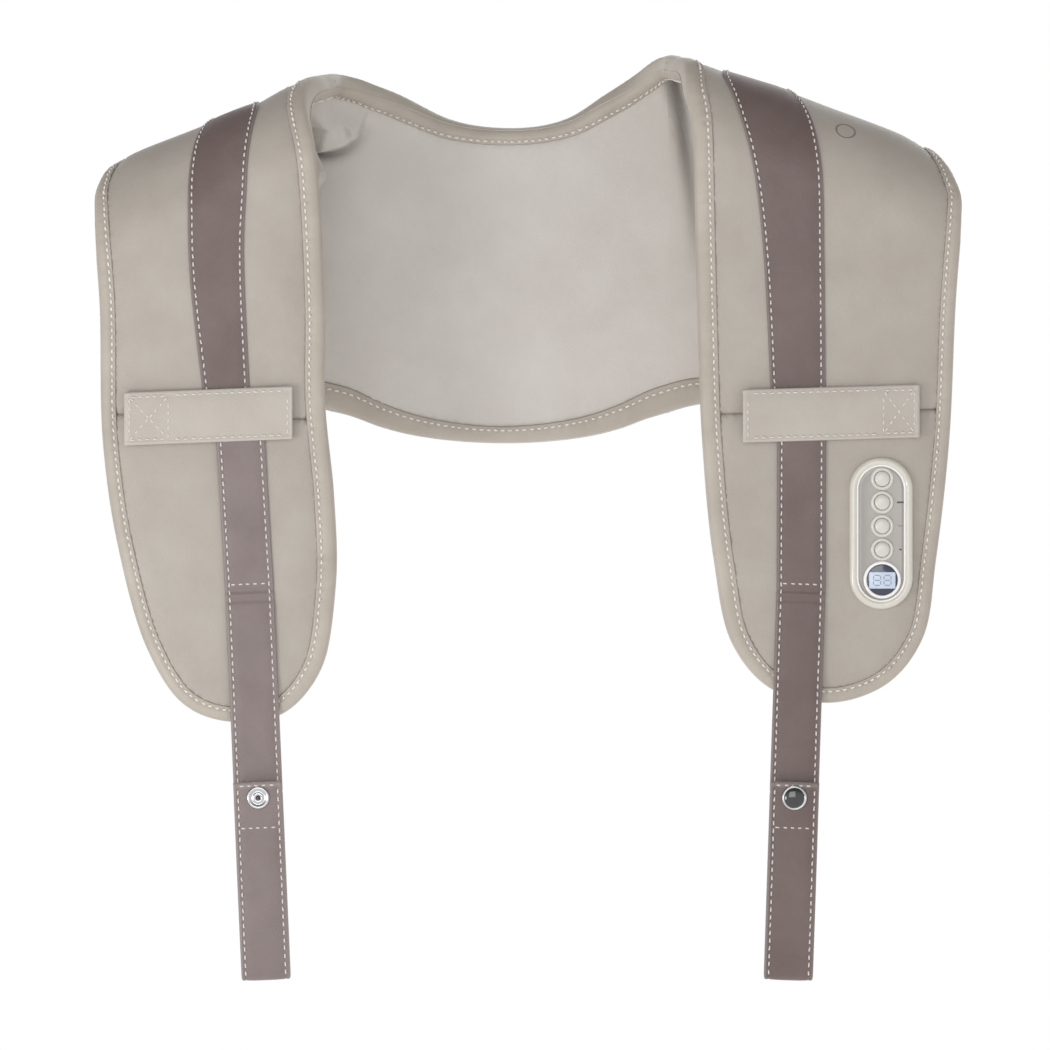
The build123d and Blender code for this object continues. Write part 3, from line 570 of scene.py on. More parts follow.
class Pad:
    """A padded panel: its pattern, the height of its outer face, and the depth of its lining.

    saddle gives places along the ridge and how much higher the arch is there.
    """

    def __init__(self, name, bend, loop, edges, seams, grooves, seed, rolled, saddle=LEVEL):
        self.name, self.bend, self.loop, self.seed, self.saddle = name, bend, loop, seed, saddle
        self.edges, self.seams, self.grooves, self.rolled = edges, seams, grooves, rolled

    def calm(self, points, edge):
        """0 at an edge or a seam, where the padding is held down, to 1 in the open."""
        return np.clip(np.minimum(edge, nearest(points, self.seams)) / 25, 0, 1)

    def height(self, points):
        points = np.asarray(points, float).reshape(-1, 2)
        edge = nearest(points, self.edges)
        crown = 3.8 * (1 - np.exp(-edge / 18)) - 1.5 - 2.2 * hill(edge, 10)
        for seam in self.seams:
            away = distance_to(points, seam)
            crown -= 2.4 * hill(away, 4) + gather(away, points[:, 1], 9, 0.4, 9)
        for groove in self.grooves:
            away = distance_to(points, groove)
            crown -= 1.3 * hill(away, 1.1) + 0.8 * hill(away, 6)
            crown -= gather(away, points[:, 0], 8, 0.22, 8)
        crown += np.interp(points[:, 0], *self.saddle) * hill(points[:, 1], 52)
        swell = soft(points, 95, self.seed) * 1.5 + soft(points * (1, 0.6), 38, self.seed + 3) * 0.55
        along = points[:, 0] + points[:, 1] * 1.25 + np.arctan2(points[:, 1], points[:, 0]) * 90
        return crown + swell * self.calm(points, edge) - gather(edge - TAPE, along, 10, 0.34, 9)

    def inner_height(self, points):
        points = np.asarray(points, float).reshape(-1, 2)
        edge = nearest(points, self.edges)
        crown = 1.6 * (1 - np.exp(-edge / 20)) - 1.6 * hill(edge, 9)
        swell = soft(points, 110, self.seed + 9) * 1.0 + soft(points, 45, self.seed + 5) * 0.4
        depth = crown + swell * self.calm(points, edge)
        depth += gather(edge - TAPE, points[:, 0] + points[:, 1], 9, 0.34, 10)
        if self.rolled:
            depth += lining_roll(self, points)
        depth -= neck_folds(self, points)[1]
        return -PAD - depth

    def fill(self, spacing, grooves=()):
        """Pattern points inside the loop, triangles facing out, and marks that paint shade on the points in a
        groove.
        """
        low, high = self.loop.min(0), self.loop.max(0)
        points = []
        for index, row in enumerate(np.arange(low[1], high[1], spacing * 0.866)):
            places = np.arange(low[0] + index % 2 * spacing / 2, high[0], spacing)
            points.append(np.stack([places, np.full(len(places), row)], 1))
        points = np.vstack(points)
        points = points[inside(points, self.loop)]
        closed = np.vstack([self.loop, self.loop[:1]])
        points = points[distance_to(points, closed) > spacing * 0.6]
        rows = [self.loop]
        for groove in grooves:
            points = points[distance_to(points, groove) > 3.2]
            square = normals_of(groove)
            for aside in (-2.2, -1.1, 0.0, 1.1, 2.2):
                row = groove + square * aside
                row = row[inside(row, self.loop)]
                rows.append(row[distance_to(row, closed) > 1.2])
        count = len(self.loop)
        ring = [(i, (i + 1) % count) for i in range(count)]
        everything = np.vstack([*rows, points])
        found = delaunay_2d_cdt([tuple(p) for p in everything], ring, [list(range(count))], 1, 1e-4)
        flat = np.array([tuple(p) for p in found[0]])
        marks = np.zeros(len(flat))
        # points in a groove get painted shade through the edge attribute
        for groove in grooves:
            marks = np.maximum(marks, 0.8 * (distance_to(flat, groove) < 0.3))
        triangles = [tuple(f) for f in found[2]]
        if not self.faces_out(flat, triangles):
            triangles = [t[::-1] for t in triangles]
        return flat, triangles, marks

    def faces_out(self, flat, triangles):
        """Whether the triangles, as listed, face out of the leather."""
        corners = flat[list(triangles[len(triangles) // 2])]
        points = self.bend.lay(corners)
        lifted = self.bend.lay(corners[:1], 1.0)[0] - points[0]
        return float(np.cross(points[1] - points[0], points[2] - points[0]) @ lifted) > 0


# where the lining of the arch rolls over the back panel, as seen from the front
ROLL = [(-152, 38), (-132, 42), (-120, 42.5), (-112, 44.5), (-105, 49), (-101, 55), (-100, 62), (-96, 68),
        (-88, 70.5), (-74, 68)]


def lining_roll(pad, points):
    """How far the lining swells at the neck, in a roll that ends steeply along its lower side."""
    places = pad.bend.drape(points, -PAD)
    seen = places[:, [0, 2]]
    steep = smooth_line(ROLL, 1.5)
    region = np.vstack([steep, [(-74, 130), (-152, 130)]])
    away = np.clip(distance_to(seen, steep) / 7, 0, 1)
    crease = hill(seen[:, 0] + 112 + (seen[:, 1] - 60) * 0.4, 4)
    rise = 18 * np.sin(away * math.pi / 2) ** 0.7 - 3.5 * crease
    fade = np.clip((nearest(points, pad.edges) - 11) / 12, 0, 1) * np.clip((seen[:, 0] + 150) / 22, 0, 1)
    fade *= np.clip((places[:, 1] - 12) / 22, 0, 1) * np.clip((-74 - seen[:, 0]) / 16, 0, 1)
    return np.where(inside(seen, region), rise * fade * away ** 0.2, 0.0)


# deep folds of the lining at the neck, seen from the front: the line, its painted shade at both ends, its
# depth
FOLDS = (([(-130, 42), (-120, 41.5), (-112, 43.5), (-105, 48), (-99, 56)], (1.0, 0.15), 0.0),
         ([(90, 84), (95, 66), (100, 36), (104, 5), (106, -25)], (0.9, 0.1), 6.0))


def neck_folds(pad, points):
    """How strong the painted shade and how deep the folds of the lining are at each pattern point."""
    places = pad.bend.drape(points, -PAD)
    shade, deep = np.zeros(len(places)), np.zeros(len(places))
    for line, ends, depth in FOLDS:
        line = smooth_line(line, 1.5)
        far = np.linalg.norm(places[:, None, [0, 2]] - line[None], axis=2)
        strength = np.interp(far.argmin(1), (0, len(line) - 1), ends)
        near = strength * hill(far.min(1), 4.2) * np.clip(places[:, 1] / 20, 0, 1)
        shade = np.maximum(shade, near)
        deep += depth * near
    return shade, deep


def panel(pad, hides_out, hides_in):
    """The outer leather and the lining of a pad."""
    flat, triangles, marks = pad.fill(3.2, pad.grooves)
    outer = piece(pad.name + "_leather", pad.bend.drape(flat, pad.height(flat)), triangles, GREIGE,
                  "shell_leather", "shawl", hides_out, marks)
    flat, triangles, _ = pad.fill(2.8)
    # the lining's marks paint shade into its deep neck folds
    piece(pad.name + "_lining_leather", pad.bend.drape(flat, pad.inner_height(flat)),
          [t[::-1] for t in triangles], LINING, "lining", "shawl", hides_in, neck_folds(pad, flat)[0])


# ---------------------------------------------------------------- tape, thread and bands
def frames_along(bend, line, heights):
    """Places and outward vectors along a pattern line."""
    places = bend.lay(line, heights)
    return places, bend.lay(line, heights + 1.0) - places


# the tape's cross-section: how far in from the edge, how high, how much it puckers, and its edge mark, the
# weight of painted shade where the tape tucks under and in its stitch lines
BINDING = [(TAPE - 0.9, -1.2, 0.0, 1.0), (TAPE - 0.1, -0.1, 0.2, 1.0), (TAPE + 0.15, 0.55, 0.6, 0.5),
           (TAPE - 0.5, 1.05, 0.9, 0.0), (TAPE - 1.7, 1.0, 1.2, 0.0), (TAPE - 2.7, 0.62, 1.0, 0.12),
           (TAPE - 3.7, 1.0, 1.2, 0.0), (TAPE - 5.6, 1.3, 0.7, 0.0), (4.0, 1.1, 0.35, 0.0),
           (2.0, 0.4, 0.2, 0.0), (0.7, -0.9, 0.15, 0.0), (0.0, -3.2, 0.1, 0.0), (-0.3, -6.2, 0.0, 0.0),
           (0.0, -9.2, 0.0, 0.0), (0.7, -11.4, 0.0, 0.0), (2.2, -12.8, 0.15, 0.0), (4.5, -13.7, 0.5, 0.0),
           (6.6, -14.0, 0.9, 0.0), (TAPE - 2.7, -13.6, 1.1, 0.12), (TAPE - 1.4, -13.9, 1.2, 0.0),
           (TAPE - 0.4, -13.8, 0.9, 0.0), (TAPE + 0.1, -13.2, 0.5, 0.6), (TAPE - 0.2, -12.2, 0.2, 1.0),
           (TAPE - 0.9, -11.0, 0.0, 1.0)]
# which points of it the two rows of thread lie in
OUTER_THREAD, INNER_THREAD = 5, 18
TAPE_GAUGE = (4.6, 3.2, 0.62)


def binding(pads):
    """One tape folded round the whole edge: down the outer face, round the rim and up the lining."""
    parts = ((NAPE, NAPE.collar, pads["back"], False), (LEFT, LEFT.edge, pads["left"], False),
             (NAPE, NAPE.hem, pads["back"], False), (RIGHT, RIGHT.edge, pads["right"], True))
    rows, ends, run = [], [], 0.0
    for owner, line, pad, backwards in parts:
        inward = normals_of(line) * owner.turn_in
        along = run + run_of(line)
        run = along[-1]
        wobble = np.array([noise.noise((r / 13, 0.4, 3.1)) for r in along])
        pucker = 0.6 * np.sin(along * 2 * math.pi / 4.8 + 3.5 * wobble) + 0.4 * wobble
        share = np.linspace(0, 1, len(line))
        front, back = np.ones(len(line)), np.ones(len(line))
        if owner is NAPE and line is NAPE.hem:
            back = 0.86 + 0.6 * np.abs(2 * share - 1) ** 1.6
        elif owner is not NAPE:
            tip = np.argmin(line[:, 1])
            front = np.interp(np.arange(len(line)), [tip - 30, tip + 12, len(line) - 20], [1.0, 0.76, 0.84])
            back = 1 + 0.46 * hill(np.arange(len(line))[::-1], 18)
        top = pad.height(line + inward * ((TAPE - 1) * front)[:, None])
        top = np.convolve(np.pad(top, 4, mode="edge"), np.ones(9) / 9, "valid")
        sheet = []
        for depth, lift, ripple, _ in BINDING:
            wide = front if lift > -6 else back
            inset = (depth * np.where(depth > 2, wide, 1.0))[:, None]
            height = lift + ripple * pucker + top * (0.0 if lift < -7 else 1.0 if depth > 1 else 0.4)
            sheet.append(owner.bend.drape(line + inward * inset, height))
        sheet = np.stack(sheet, 1)
        rows.append(sheet[::-1] if backwards else sheet)
        ends.append(sum(len(r) for r in rows))
    rows = np.concatenate(rows)
    count = len(rows)
    smooth = sum(np.roll(rows, k, axis=0) * (7 - abs(k)) for k in range(-6, 7)) / 49
    near = np.zeros(count)
    for end in ends:
        away = np.abs((np.arange(count) - end + count / 2) % count - count / 2)
        near = np.maximum(near, hill(away, 7))
    rows = rows * (1 - near[:, None, None]) + smooth * near[:, None, None]
    # the marks paint shade where the tape tucks under and along its stitch lines
    marks = np.tile([mark for *_, mark in BINDING], (count, 1))
    closed_piece("edge_binding_tape", rows, grid_faces(count, len(BINDING), closed_rows=True), TAPE_LEATHER,
                 "edge_tape", "shawl", ["edge_binding"], marks)
    out = unit(rows[:, OUTER_THREAD] - rows[:, INNER_THREAD])
    for label, row, sign in (("out", OUTER_THREAD, 1), ("in", INNER_THREAD, -1)):
        places = rows[:, row] + out * sign * 0.12
        stitches(f"binding_thread_{label}", places, out * sign, TAPE_GAUGE, THREAD_PALE, "edge_tape",
                 "shawl")


THREAD_SIDES, THREAD_RINGS = 6, 7
EDGE_GAUGE = (4.7, 3.2, 0.48)


def stitches(name, places, out, gauge, material, slot, body):
    """Thread along a line: each stitch rises from its hole, lies on the surface and dives again.

    gauge is the distance between stitches, the length of one and the thread's radius.
    """
    pitch, length, radius = gauge
    run, along = run_of(places), directions(places)
    count = int(run[-1] // pitch)
    t = np.linspace(-0.5, 0.5, THREAD_RINGS)
    rise = radius * (0.9 - 2.4 * (2 * np.abs(t)) ** 3)
    girth = radius * np.sqrt(np.clip(1.03 - (2 * t) ** 6, 0.12, 1))
    angle = np.arange(THREAD_SIDES) * 2 * math.pi / THREAD_SIDES
    points, faces = [], []
    rng = np.random.default_rng(len(name) * 131 + count)
    for index in range(count):
        centre = (index + 0.5) * pitch + rng.normal(0, 0.12)
        above = unit(sample(centre, run, out))
        across = unit(np.cross(sample(centre, run, along), above))
        lean = rng.normal(0, 0.18) * 0.6
        line = sample(centre + t * length, run, places)
        line += rise[:, None] * above + (t * lean * 2)[:, None] * across
        circle = np.cos(angle)[:, None] * across + np.sin(angle)[:, None] * above * 0.8
        points.append((line[:, None] + girth[:, None, None] * circle).reshape(-1, 3))
        faces += tube_faces(THREAD_RINGS, THREAD_SIDES, index * THREAD_RINGS * THREAD_SIDES)
    return piece(name, np.vstack(points), faces, material, slot, body)


FRONT_POINTS = 17


def band_section(half, thickness, puff=0.25):
    """Cross-section of a sewn leather band: (across, height, edge mark), front face then back."""
    front = [(-half, 0.3, 1.0), (-half + 0.25, thickness * 0.72, 1.0), (-half + 0.8, thickness - 0.05, 0.8),
             (-half + 1.5, thickness + 0.05, 0.15), (-half + 2.3, thickness - 0.12, 0.0),
             (-half + 2.9, thickness - 0.22, 0.0), (-half + 3.9, thickness + 0.04, 0.0),
             (-half * 0.45, thickness + puff, 0.0), (0.0, thickness + puff * 1.15, 0.0)]
    front += [(-across, height, mark) for across, height, mark in reversed(front[:-1])]
    back = [(half - 0.3, 0.0, 1.0), (half - 1.5, 0.0, 0.2), (0.0, 0.0, 0.0), (-half + 1.5, 0.0, 0.2),
            (-half + 0.3, 0.0, 1.0)]
    return front + back


FORWARD = (0, -1.0, 0)


class Ribbon:
    """The line of a band: its places and their across and outward directions, and the band's size."""

    def __init__(self, centre, across, out, half, thickness):
        self.centre, self.half, self.thickness = centre, half, thickness
        self.across = np.broadcast_to(np.asarray(across, float), centre.shape)
        self.out = np.broadcast_to(np.asarray(out, float), centre.shape)

    def part(self, which):
        return Ribbon(self.centre[which], self.across[which], self.out[which], self.half, self.thickness)


def band(name, line, hides, material, slot="band_leather"):
    """A leather band along a ribbon's line, closed at both ends."""
    offsets = np.array(band_section(line.half, line.thickness))
    points = line.centre[:, None] + offsets[:, :1] * line.across[:, None]
    points = points + offsets[:, 1:2] * line.out[:, None]
    marks = np.tile(offsets[:, 2], (len(points), 1))
    marks[:2] = marks[-2:] = 1.0
    faces = tube_faces(len(points), len(offsets))
    return closed_piece(name, points, faces, material, slot, None, hides, marks)


def band_stitches(name, line, body):
    """A row of pale stitches beside each edge of a band."""
    made = []
    for side, label in ((-1, "inner"), (1, "outer")):
        places = line.centre + line.across * side * (line.half - 2.75) + line.out * (line.thickness - 0.02)
        made.append(stitches(f"{name}_thread_{label}", places, line.out, EDGE_GAUGE, THREAD_WHITE,
                             "band_leather", body))
    return made


def straight_stitches(name, start, end, body):
    """One row of pale stitches between two places on the front."""
    start, end = np.array(start, float), np.array(end, float)
    count = max(int(np.linalg.norm(end - start)), 2)
    return stitches(name, np.linspace(start, end, count), np.tile(FORWARD, (count, 1)), (4.4, 3.0, 0.46),
                    THREAD_WHITE, "band_leather", body)


def shoulder_strip(side, pad):
    """The dark strip over a shoulder, from under the keeper band to the hem at the back."""
    inner, outer = side.strips
    lines = []
    for line in (inner, outer):
        front = side.seen(list(reversed(line)), -1)
        top_x = side.bend.lay(front[-1])[0]
        over = [side.bend.at_x(top_x, s) for s in (-20, 20, 60)]
        back = side.seen([(line[0][0] + 2, 20), (line[0][0] + 3, -40), (line[0][0] + 3, -118)], 1)
        line = smooth_line(np.vstack([front, over, back]), 2.0)
        near_hem = (distance_to(line, side.edge) < 8) & (line[:, 1] > 60)
        lines.append(line[:np.argmax(near_hem) + 1])
    count = min(len(line) for line in lines)
    lines = [sample(np.linspace(0, 1, count), np.linspace(0, 1, len(line)), line) for line in lines]
    width = np.linalg.norm(lines[1] - lines[0], axis=1)
    section = band_section(1.0, 1.25)[:FRONT_POINTS]
    insets = np.array([0, 0.25, 0.8, 1.5, 2.3, 2.9, 3.9])
    shares = [inset / width for inset in insets] + [np.full(count, 0.28), np.full(count, 0.5)]
    shares += [1 - share for share in reversed(shares[:-1])]
    points = []
    for share, (_, lift, _) in zip(shares, section):
        flat = lines[0] * (1 - share[:, None]) + lines[1] * share[:, None]
        sunk = np.clip((13.5 - distance_to(flat, side.edge)) / 2, 0, 1) * (flat[:, 1] > 60) * 2.2
        points.append(side.bend.lay(flat, pad.height(flat) + (lift if 0.3 < lift else -0.8) - sunk))
    grid = np.stack(points, 1)
    marks = np.tile([mark for *_, mark in section], (count, 1))
    closed_piece(f"{side.name}_strip_leather", grid, grid_faces(count, len(shares)), TAUPE, "band_leather",
                 "shawl", [f"{side.name}_shoulder_strip"], marks)
    for edge, other, label in ((lines[0], lines[1], "inner"), (lines[1], lines[0], "outer")):
        toward = (other - edge) / width[:, None]
        flat = edge + toward * 2.8
        flat = flat[(distance_to(flat, side.edge) > 13) | (flat[:, 1] < 60)]
        stitches(f"{side.name}_strip_thread_{label}", *frames_along(side.bend, flat, pad.height(flat) + 1.16),
                 EDGE_GAUGE, THREAD_WHITE, "band_leather", "shawl")


# ---------------------------------------------------------------- straps, keepers and snaps
STRAP_TOP = -222.0
STRAP_LENGTH = 232.0
STRAP_HALF = 14.7
STRAP_THICK = 2.2
STRAP_BACK = 1.1
LEAF_TOP = 117.0
LOOP_GAP = 5.2
SNAP_DROP = 127.5
SPLIT_DROP = 125.0


class Strap:
    """Line of a hanging strap: its top, its lean and the places along it."""

    def __init__(self, side, x, lean, sewn_lean):
        self.side, self.x, self.lean = side, x, math.radians(lean)
        self.aside = -side.sign * (math.tan(math.radians(sewn_lean)) - math.tan(self.lean))
        self.down = np.array((-side.sign * math.sin(self.lean), 0, -math.cos(self.lean)))
        self.across = np.array((math.cos(self.lean), 0, -side.sign * math.sin(self.lean)))

    def at(self, drop, front):
        drop, front = np.broadcast_arrays(np.asarray(drop, float), np.asarray(front, float))
        top = np.array((self.side.sign * self.x, 0, STRAP_TOP))
        shift = np.minimum(drop, 0)[..., None] * np.array((self.aside, 0, 0))
        return top + drop[..., None] * self.down + shift + (HALF_DEPTH + front)[..., None] * np.array(FORWARD)


def cross_row(name, strap, drop, front, body):
    """A row of stitches straight across a strap."""
    centre = strap.at(drop, front)
    reach = strap.across * (STRAP_HALF - 3.0)
    return straight_stitches(name, centre - reach, centre + reach, body)


def strap_pieces(side, pad, strap, look):
    """Chest strap, hanging strap, hand loop and their stitching."""
    name = side.name
    drops = np.concatenate([np.arange(-112, -8, 2.0), np.arange(-8, 24, 0.8),
                            np.arange(24, SPLIT_DROP + 0.1, 2.0)])
    surface = []
    for drop in np.minimum(drops, 0):
        trio = np.array([strap.at(drop, 0)[[0, 2]] + strap.across[[0, 2]] * w for w in (-11, 0, 11)])
        surface.append(pad.height(side.bend.unlay(trio, -1)).max())
    surface = np.convolve(np.pad(surface, 6, mode="edge"), np.ones(13) / 13, "valid")
    hang = np.clip(drops / 14, 0, 1)
    back = np.where(drops < 0, surface + 0.05, surface + (STRAP_BACK + 0.3 - surface) * hang)
    back += 0.5 * np.sin(np.clip(drops, 0, 80) / 80 * math.pi) + 0.25 * np.sin(drops / 23)
    for fold, width, rise in ((3.4, 1.3, -0.55), (6.2, 1.6, 0.35), (9.0, 1.5, -0.45), (13.0, 3.0, 0.35)):
        back += rise * np.exp(-((drops - fold) / width) ** 2)
    upper = Ribbon(strap.at(drops, back), strap.across, FORWARD, STRAP_HALF, STRAP_THICK)
    front = float(np.interp(-0.6, drops, back)) + STRAP_THICK
    for one in (band(f"{name}_strap_leather", upper, [f"{name}_chest_strap", f"{name}_hanging_strap"], look),
                *band_stitches(f"{name}_strap", upper.part(slice(3, None)), None),
                cross_row(f"{name}_strap_cross", strap, -0.6, front, None)):
        tuple(strap.at(-3, 0) * MM)
        tuple(strap.at(7, 0) * MM)
        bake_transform(one)

    radius = LOOP_GAP / 2
    end = float(back[-1])
    down_drops = np.arange(SPLIT_DROP + 0.2, STRAP_LENGTH, 2.0)
    down_back = np.linspace(end, STRAP_BACK, len(down_drops))
    turn = np.linspace(0, math.pi, 13)
    fold_front = STRAP_BACK + STRAP_THICK + radius
    up_drops = np.arange(STRAP_LENGTH - 2.0, LEAF_TOP - 0.1, -2.0)
    bulge = 1.6 * np.sin(np.clip((STRAP_LENGTH - up_drops) / 96, 0, 1) * math.pi)
    drops_all = np.concatenate([down_drops, STRAP_LENGTH + np.sin(turn) * (radius + STRAP_THICK), up_drops])
    front_all = np.concatenate([down_back, fold_front - np.cos(turn) * (radius + STRAP_THICK),
                                fold_front + radius + STRAP_THICK + bulge])
    outward = np.concatenate([np.tile((0, 1.0, 0), (len(down_drops), 1)),
                              np.outer(np.cos(turn), (0, 1.0, 0)) + np.outer(np.sin(turn), strap.down),
                              np.tile(FORWARD, (len(up_drops), 1))])
    # the band's own back face is the inside of the loop, so its line is the outer face less its thickness
    line = Ribbon(strap.at(drops_all, front_all) - outward * STRAP_THICK, strap.across, outward,
                  STRAP_HALF, STRAP_THICK)
    loop = band(f"{name}_loop_leather", line, [f"{name}_loop_leaf", f"{name}_loop_fold"], look)
    tuple(strap.at(0, fold_front - radius - 0.2) * MM)
    tuple(strap.at(0, fold_front + radius + 0.1) * MM)
    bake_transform(loop)
    leaf = line.part(slice(len(down_drops) + len(turn) - 3, -1))
    band_stitches(f"{name}_leaf", leaf, f"{name}_hand_loop")
    for row, drop in enumerate((LEAF_TOP + 3.2, LEAF_TOP + 28.5)):
        front = float(np.interp(-drop, -up_drops, front_all[len(down_drops) + len(turn):]))
        cross_row(f"{name}_leaf_cross{row}", strap, drop, front, f"{name}_hand_loop")
    snap(side, strap, float(front_all[-1]))


def lathe(name, centre, profile, material, slot, body, hides=(), steps=64):
    """A turned piece that faces the front: profile is (radius, height) out of centre."""
    angle = np.arange(steps) * 2 * math.pi / steps
    ring = np.cos(angle)[:, None] * (1.0, 0, 0) + np.sin(angle)[:, None] * (0, 0, 1.0)
    points = np.array([centre + ring * radius + np.array(FORWARD) * height for radius, height in profile])
    return closed_piece(name, points, tube_faces(len(profile), steps), material, slot, body, hides)


def snap(side, strap, leaf_front):
    """The cap of the snap on the leaf: an open ring on the right strap, a dark dome on the left."""
    body = f"{side.name}_hand_loop"
    centre = strap.at(SNAP_DROP, leaf_front)
    if side is RIGHT:
        ring = [(1.35, 0.5), (1.4, 1.0), (2.0, 1.4), (3.0, 1.2), (3.6, 0.8), (4.3, 0.9), (5.2, 1.55),
                (6.0, 1.75), (6.6, 1.35), (6.9, 0.6), (6.95, -0.1)]
        lathe("right_snap_ring", centre, ring, CHROME, "snap_chrome", body, ["right_snap_cap"])
        # a dark disc painted in as the shade seen inside the snap's open ring
        lathe("right_snap_eye", centre, [(0.2, 0.66), (1.6, 0.6)], DARK_CAP_AND_HOLE_SHADE, "snap_chrome", body)
    else:
        ring = [(5.6, 0.2), (5.8, 1.2), (6.3, 1.75), (7.0, 1.6), (7.5, 1.0), (7.75, 0.2), (7.7, -0.2)]
        dome = [(r, 0.9 + 1.9 * math.sqrt(max(1 - (r / 6.4) ** 2, 0))) for r in np.linspace(0.05, 6.05, 14)]
        lathe("left_snap_ring", centre, ring, CHROME, "snap_chrome", body, ["left_snap_cap"])
        lathe("left_snap_dome", centre, dome, DARK_CAP_AND_HOLE_SHADE, "snap_chrome", body)


KEEPER_HALF = 16.0
KEEPER_THICK = 2.0


def keeper(side, free, line, end, top, tilt):
    """A keeper band: sewn down at its outer end with a boxed cross, free at its inner end."""
    x = np.concatenate([np.arange(end, line, -2.0), np.arange(line, free, -2.0), [free]])
    reach = np.clip((line - x) / (line - free), 0, 1)
    front = np.where(x > line, 4.1, 4.1 + 1.3 * np.sin(reach * math.pi * 0.5) - 0.4 * np.sin(reach * math.pi))
    z = top - KEEPER_HALF + np.tan(math.radians(tilt)) * (end - x)
    centre = np.stack([side.sign * x, -HALF_DEPTH - front, z], 1)
    ribbon = Ribbon(centre, (0, 0, 1.0), FORWARD, KEEPER_HALF, KEEPER_THICK)
    name = side.name
    flap = (x < line + 1.0) & (x > free + 3)
    leather_band = band(f"{name}_keeper_leather", ribbon, [f"{name}_keeper_flap"], KEEPER_LEATHER,
                        "shell_leather")
    for one in (leather_band, *band_stitches(f"{name}_flap", ribbon.part(flap), None)):
        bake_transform(one)
    tip = centre[-1] + np.array((side.sign * 3.0, -KEEPER_THICK, 0))
    rise = np.array((0, 0, KEEPER_HALF - 3.2))
    straight_stitches(f"{name}_flap_end_thread", tip - rise, tip + rise, f"{name}_keeper")
    box = [(end - 3.2, 1), (end - 3.2, -1), (line + 3.4, -1), (line + 3.4, 1)]
    corners = [np.array((side.sign * bx, -HALF_DEPTH - 4.1 - KEEPER_THICK,
                         np.interp(-bx, -x, z) + up * (KEEPER_HALF - 3.2))) for bx, up in box]
    for label, a, b in (("end", 0, 1), ("line", 2, 3), ("rise", 0, 2), ("fall", 1, 3), ("top", 0, 3),
                        ("foot", 1, 2)):
        straight_stitches(f"{name}_box_thread_{label}", corners[a], corners[b], "shawl")


# each keeper band: its side, free end, stitched line and outer end, its top edge and its tilt in degrees
KEEPERS = ((LEFT, 130, 211, 236, -101.6, -1.7), (RIGHT, 140, 211, 241, -106.5, 2.2))


def keeper_fillers():
    """The folded layers under the sewn ends of the two keeper bands."""
    points, faces = [], []
    for side, _, line, end, top, tilt in KEEPERS:
        outline = []
        for bx, bz in ((line + 1.9, -1), (end - 0.8, -1), (end - 0.8, 1), (line + 1.9, 1)):
            z = top - KEEPER_HALF + math.tan(math.radians(tilt)) * (end - bx)
            outline.append((side.sign * bx, z + bz * (KEEPER_HALF - 0.7)))
        start = len(points)
        for front, pinch in ((-1.0, 0.0), (1.2, 0.5), (2.4, 0.0), (4.1, 0.0)):
            points += [(px - side.sign * pinch * (1 if index in (1, 2) else -1), -HALF_DEPTH - front, pz)
                       for index, (px, pz) in enumerate(outline)]
        faces += tube_faces(4, 4, start)
    closed_piece("keeper_sewn_layers", points, faces, KEEPER_LEATHER, "shell_leather", "shawl",
                 ["keeper_anchors"], np.full(len(points), 0.5))


# ---------------------------------------------------------------- control unit
CONTROL_AT = (213.0, -191.0)
CONTROL_HALF = (19.0, 45.5)
KEY_HEIGHTS = {"power": 32.7, "mode": 18.6, "plus": 4.4, "minus": -9.7}
KEY_X = 0.6
DISPLAY_Z = -27.9
WINDOW_Z = DISPLAY_Z - 0.3
WINDOW_HALF = (7.9, 4.9)
WINDOW_ROUND = 0.8


def control_point(x, z, front):
    return np.array((CONTROL_AT[0] + x, -HALF_DEPTH - front, CONTROL_AT[1] + z))


def stadium_ring(name, profile, material, slot, hides=(), filled=False):
    """A moulding round the long-round outline; profile is (shrink, height out of the leather)."""
    steps = 32
    points = []
    for shrink, front in profile:
        radius = CONTROL_HALF[0] - shrink
        straight = CONTROL_HALF[1] - CONTROL_HALF[0]
        for end in (1, -1):
            for angle in np.linspace(0, math.pi, steps):
                turned = angle if end > 0 else angle + math.pi
                points.append(control_point(radius * math.cos(turned),
                                            end * straight + radius * math.sin(turned), front))
    faces = tube_faces(len(profile), steps * 2, first=False, last=filled)
    closed_piece(name, points, faces, material, slot, "shawl", hides)


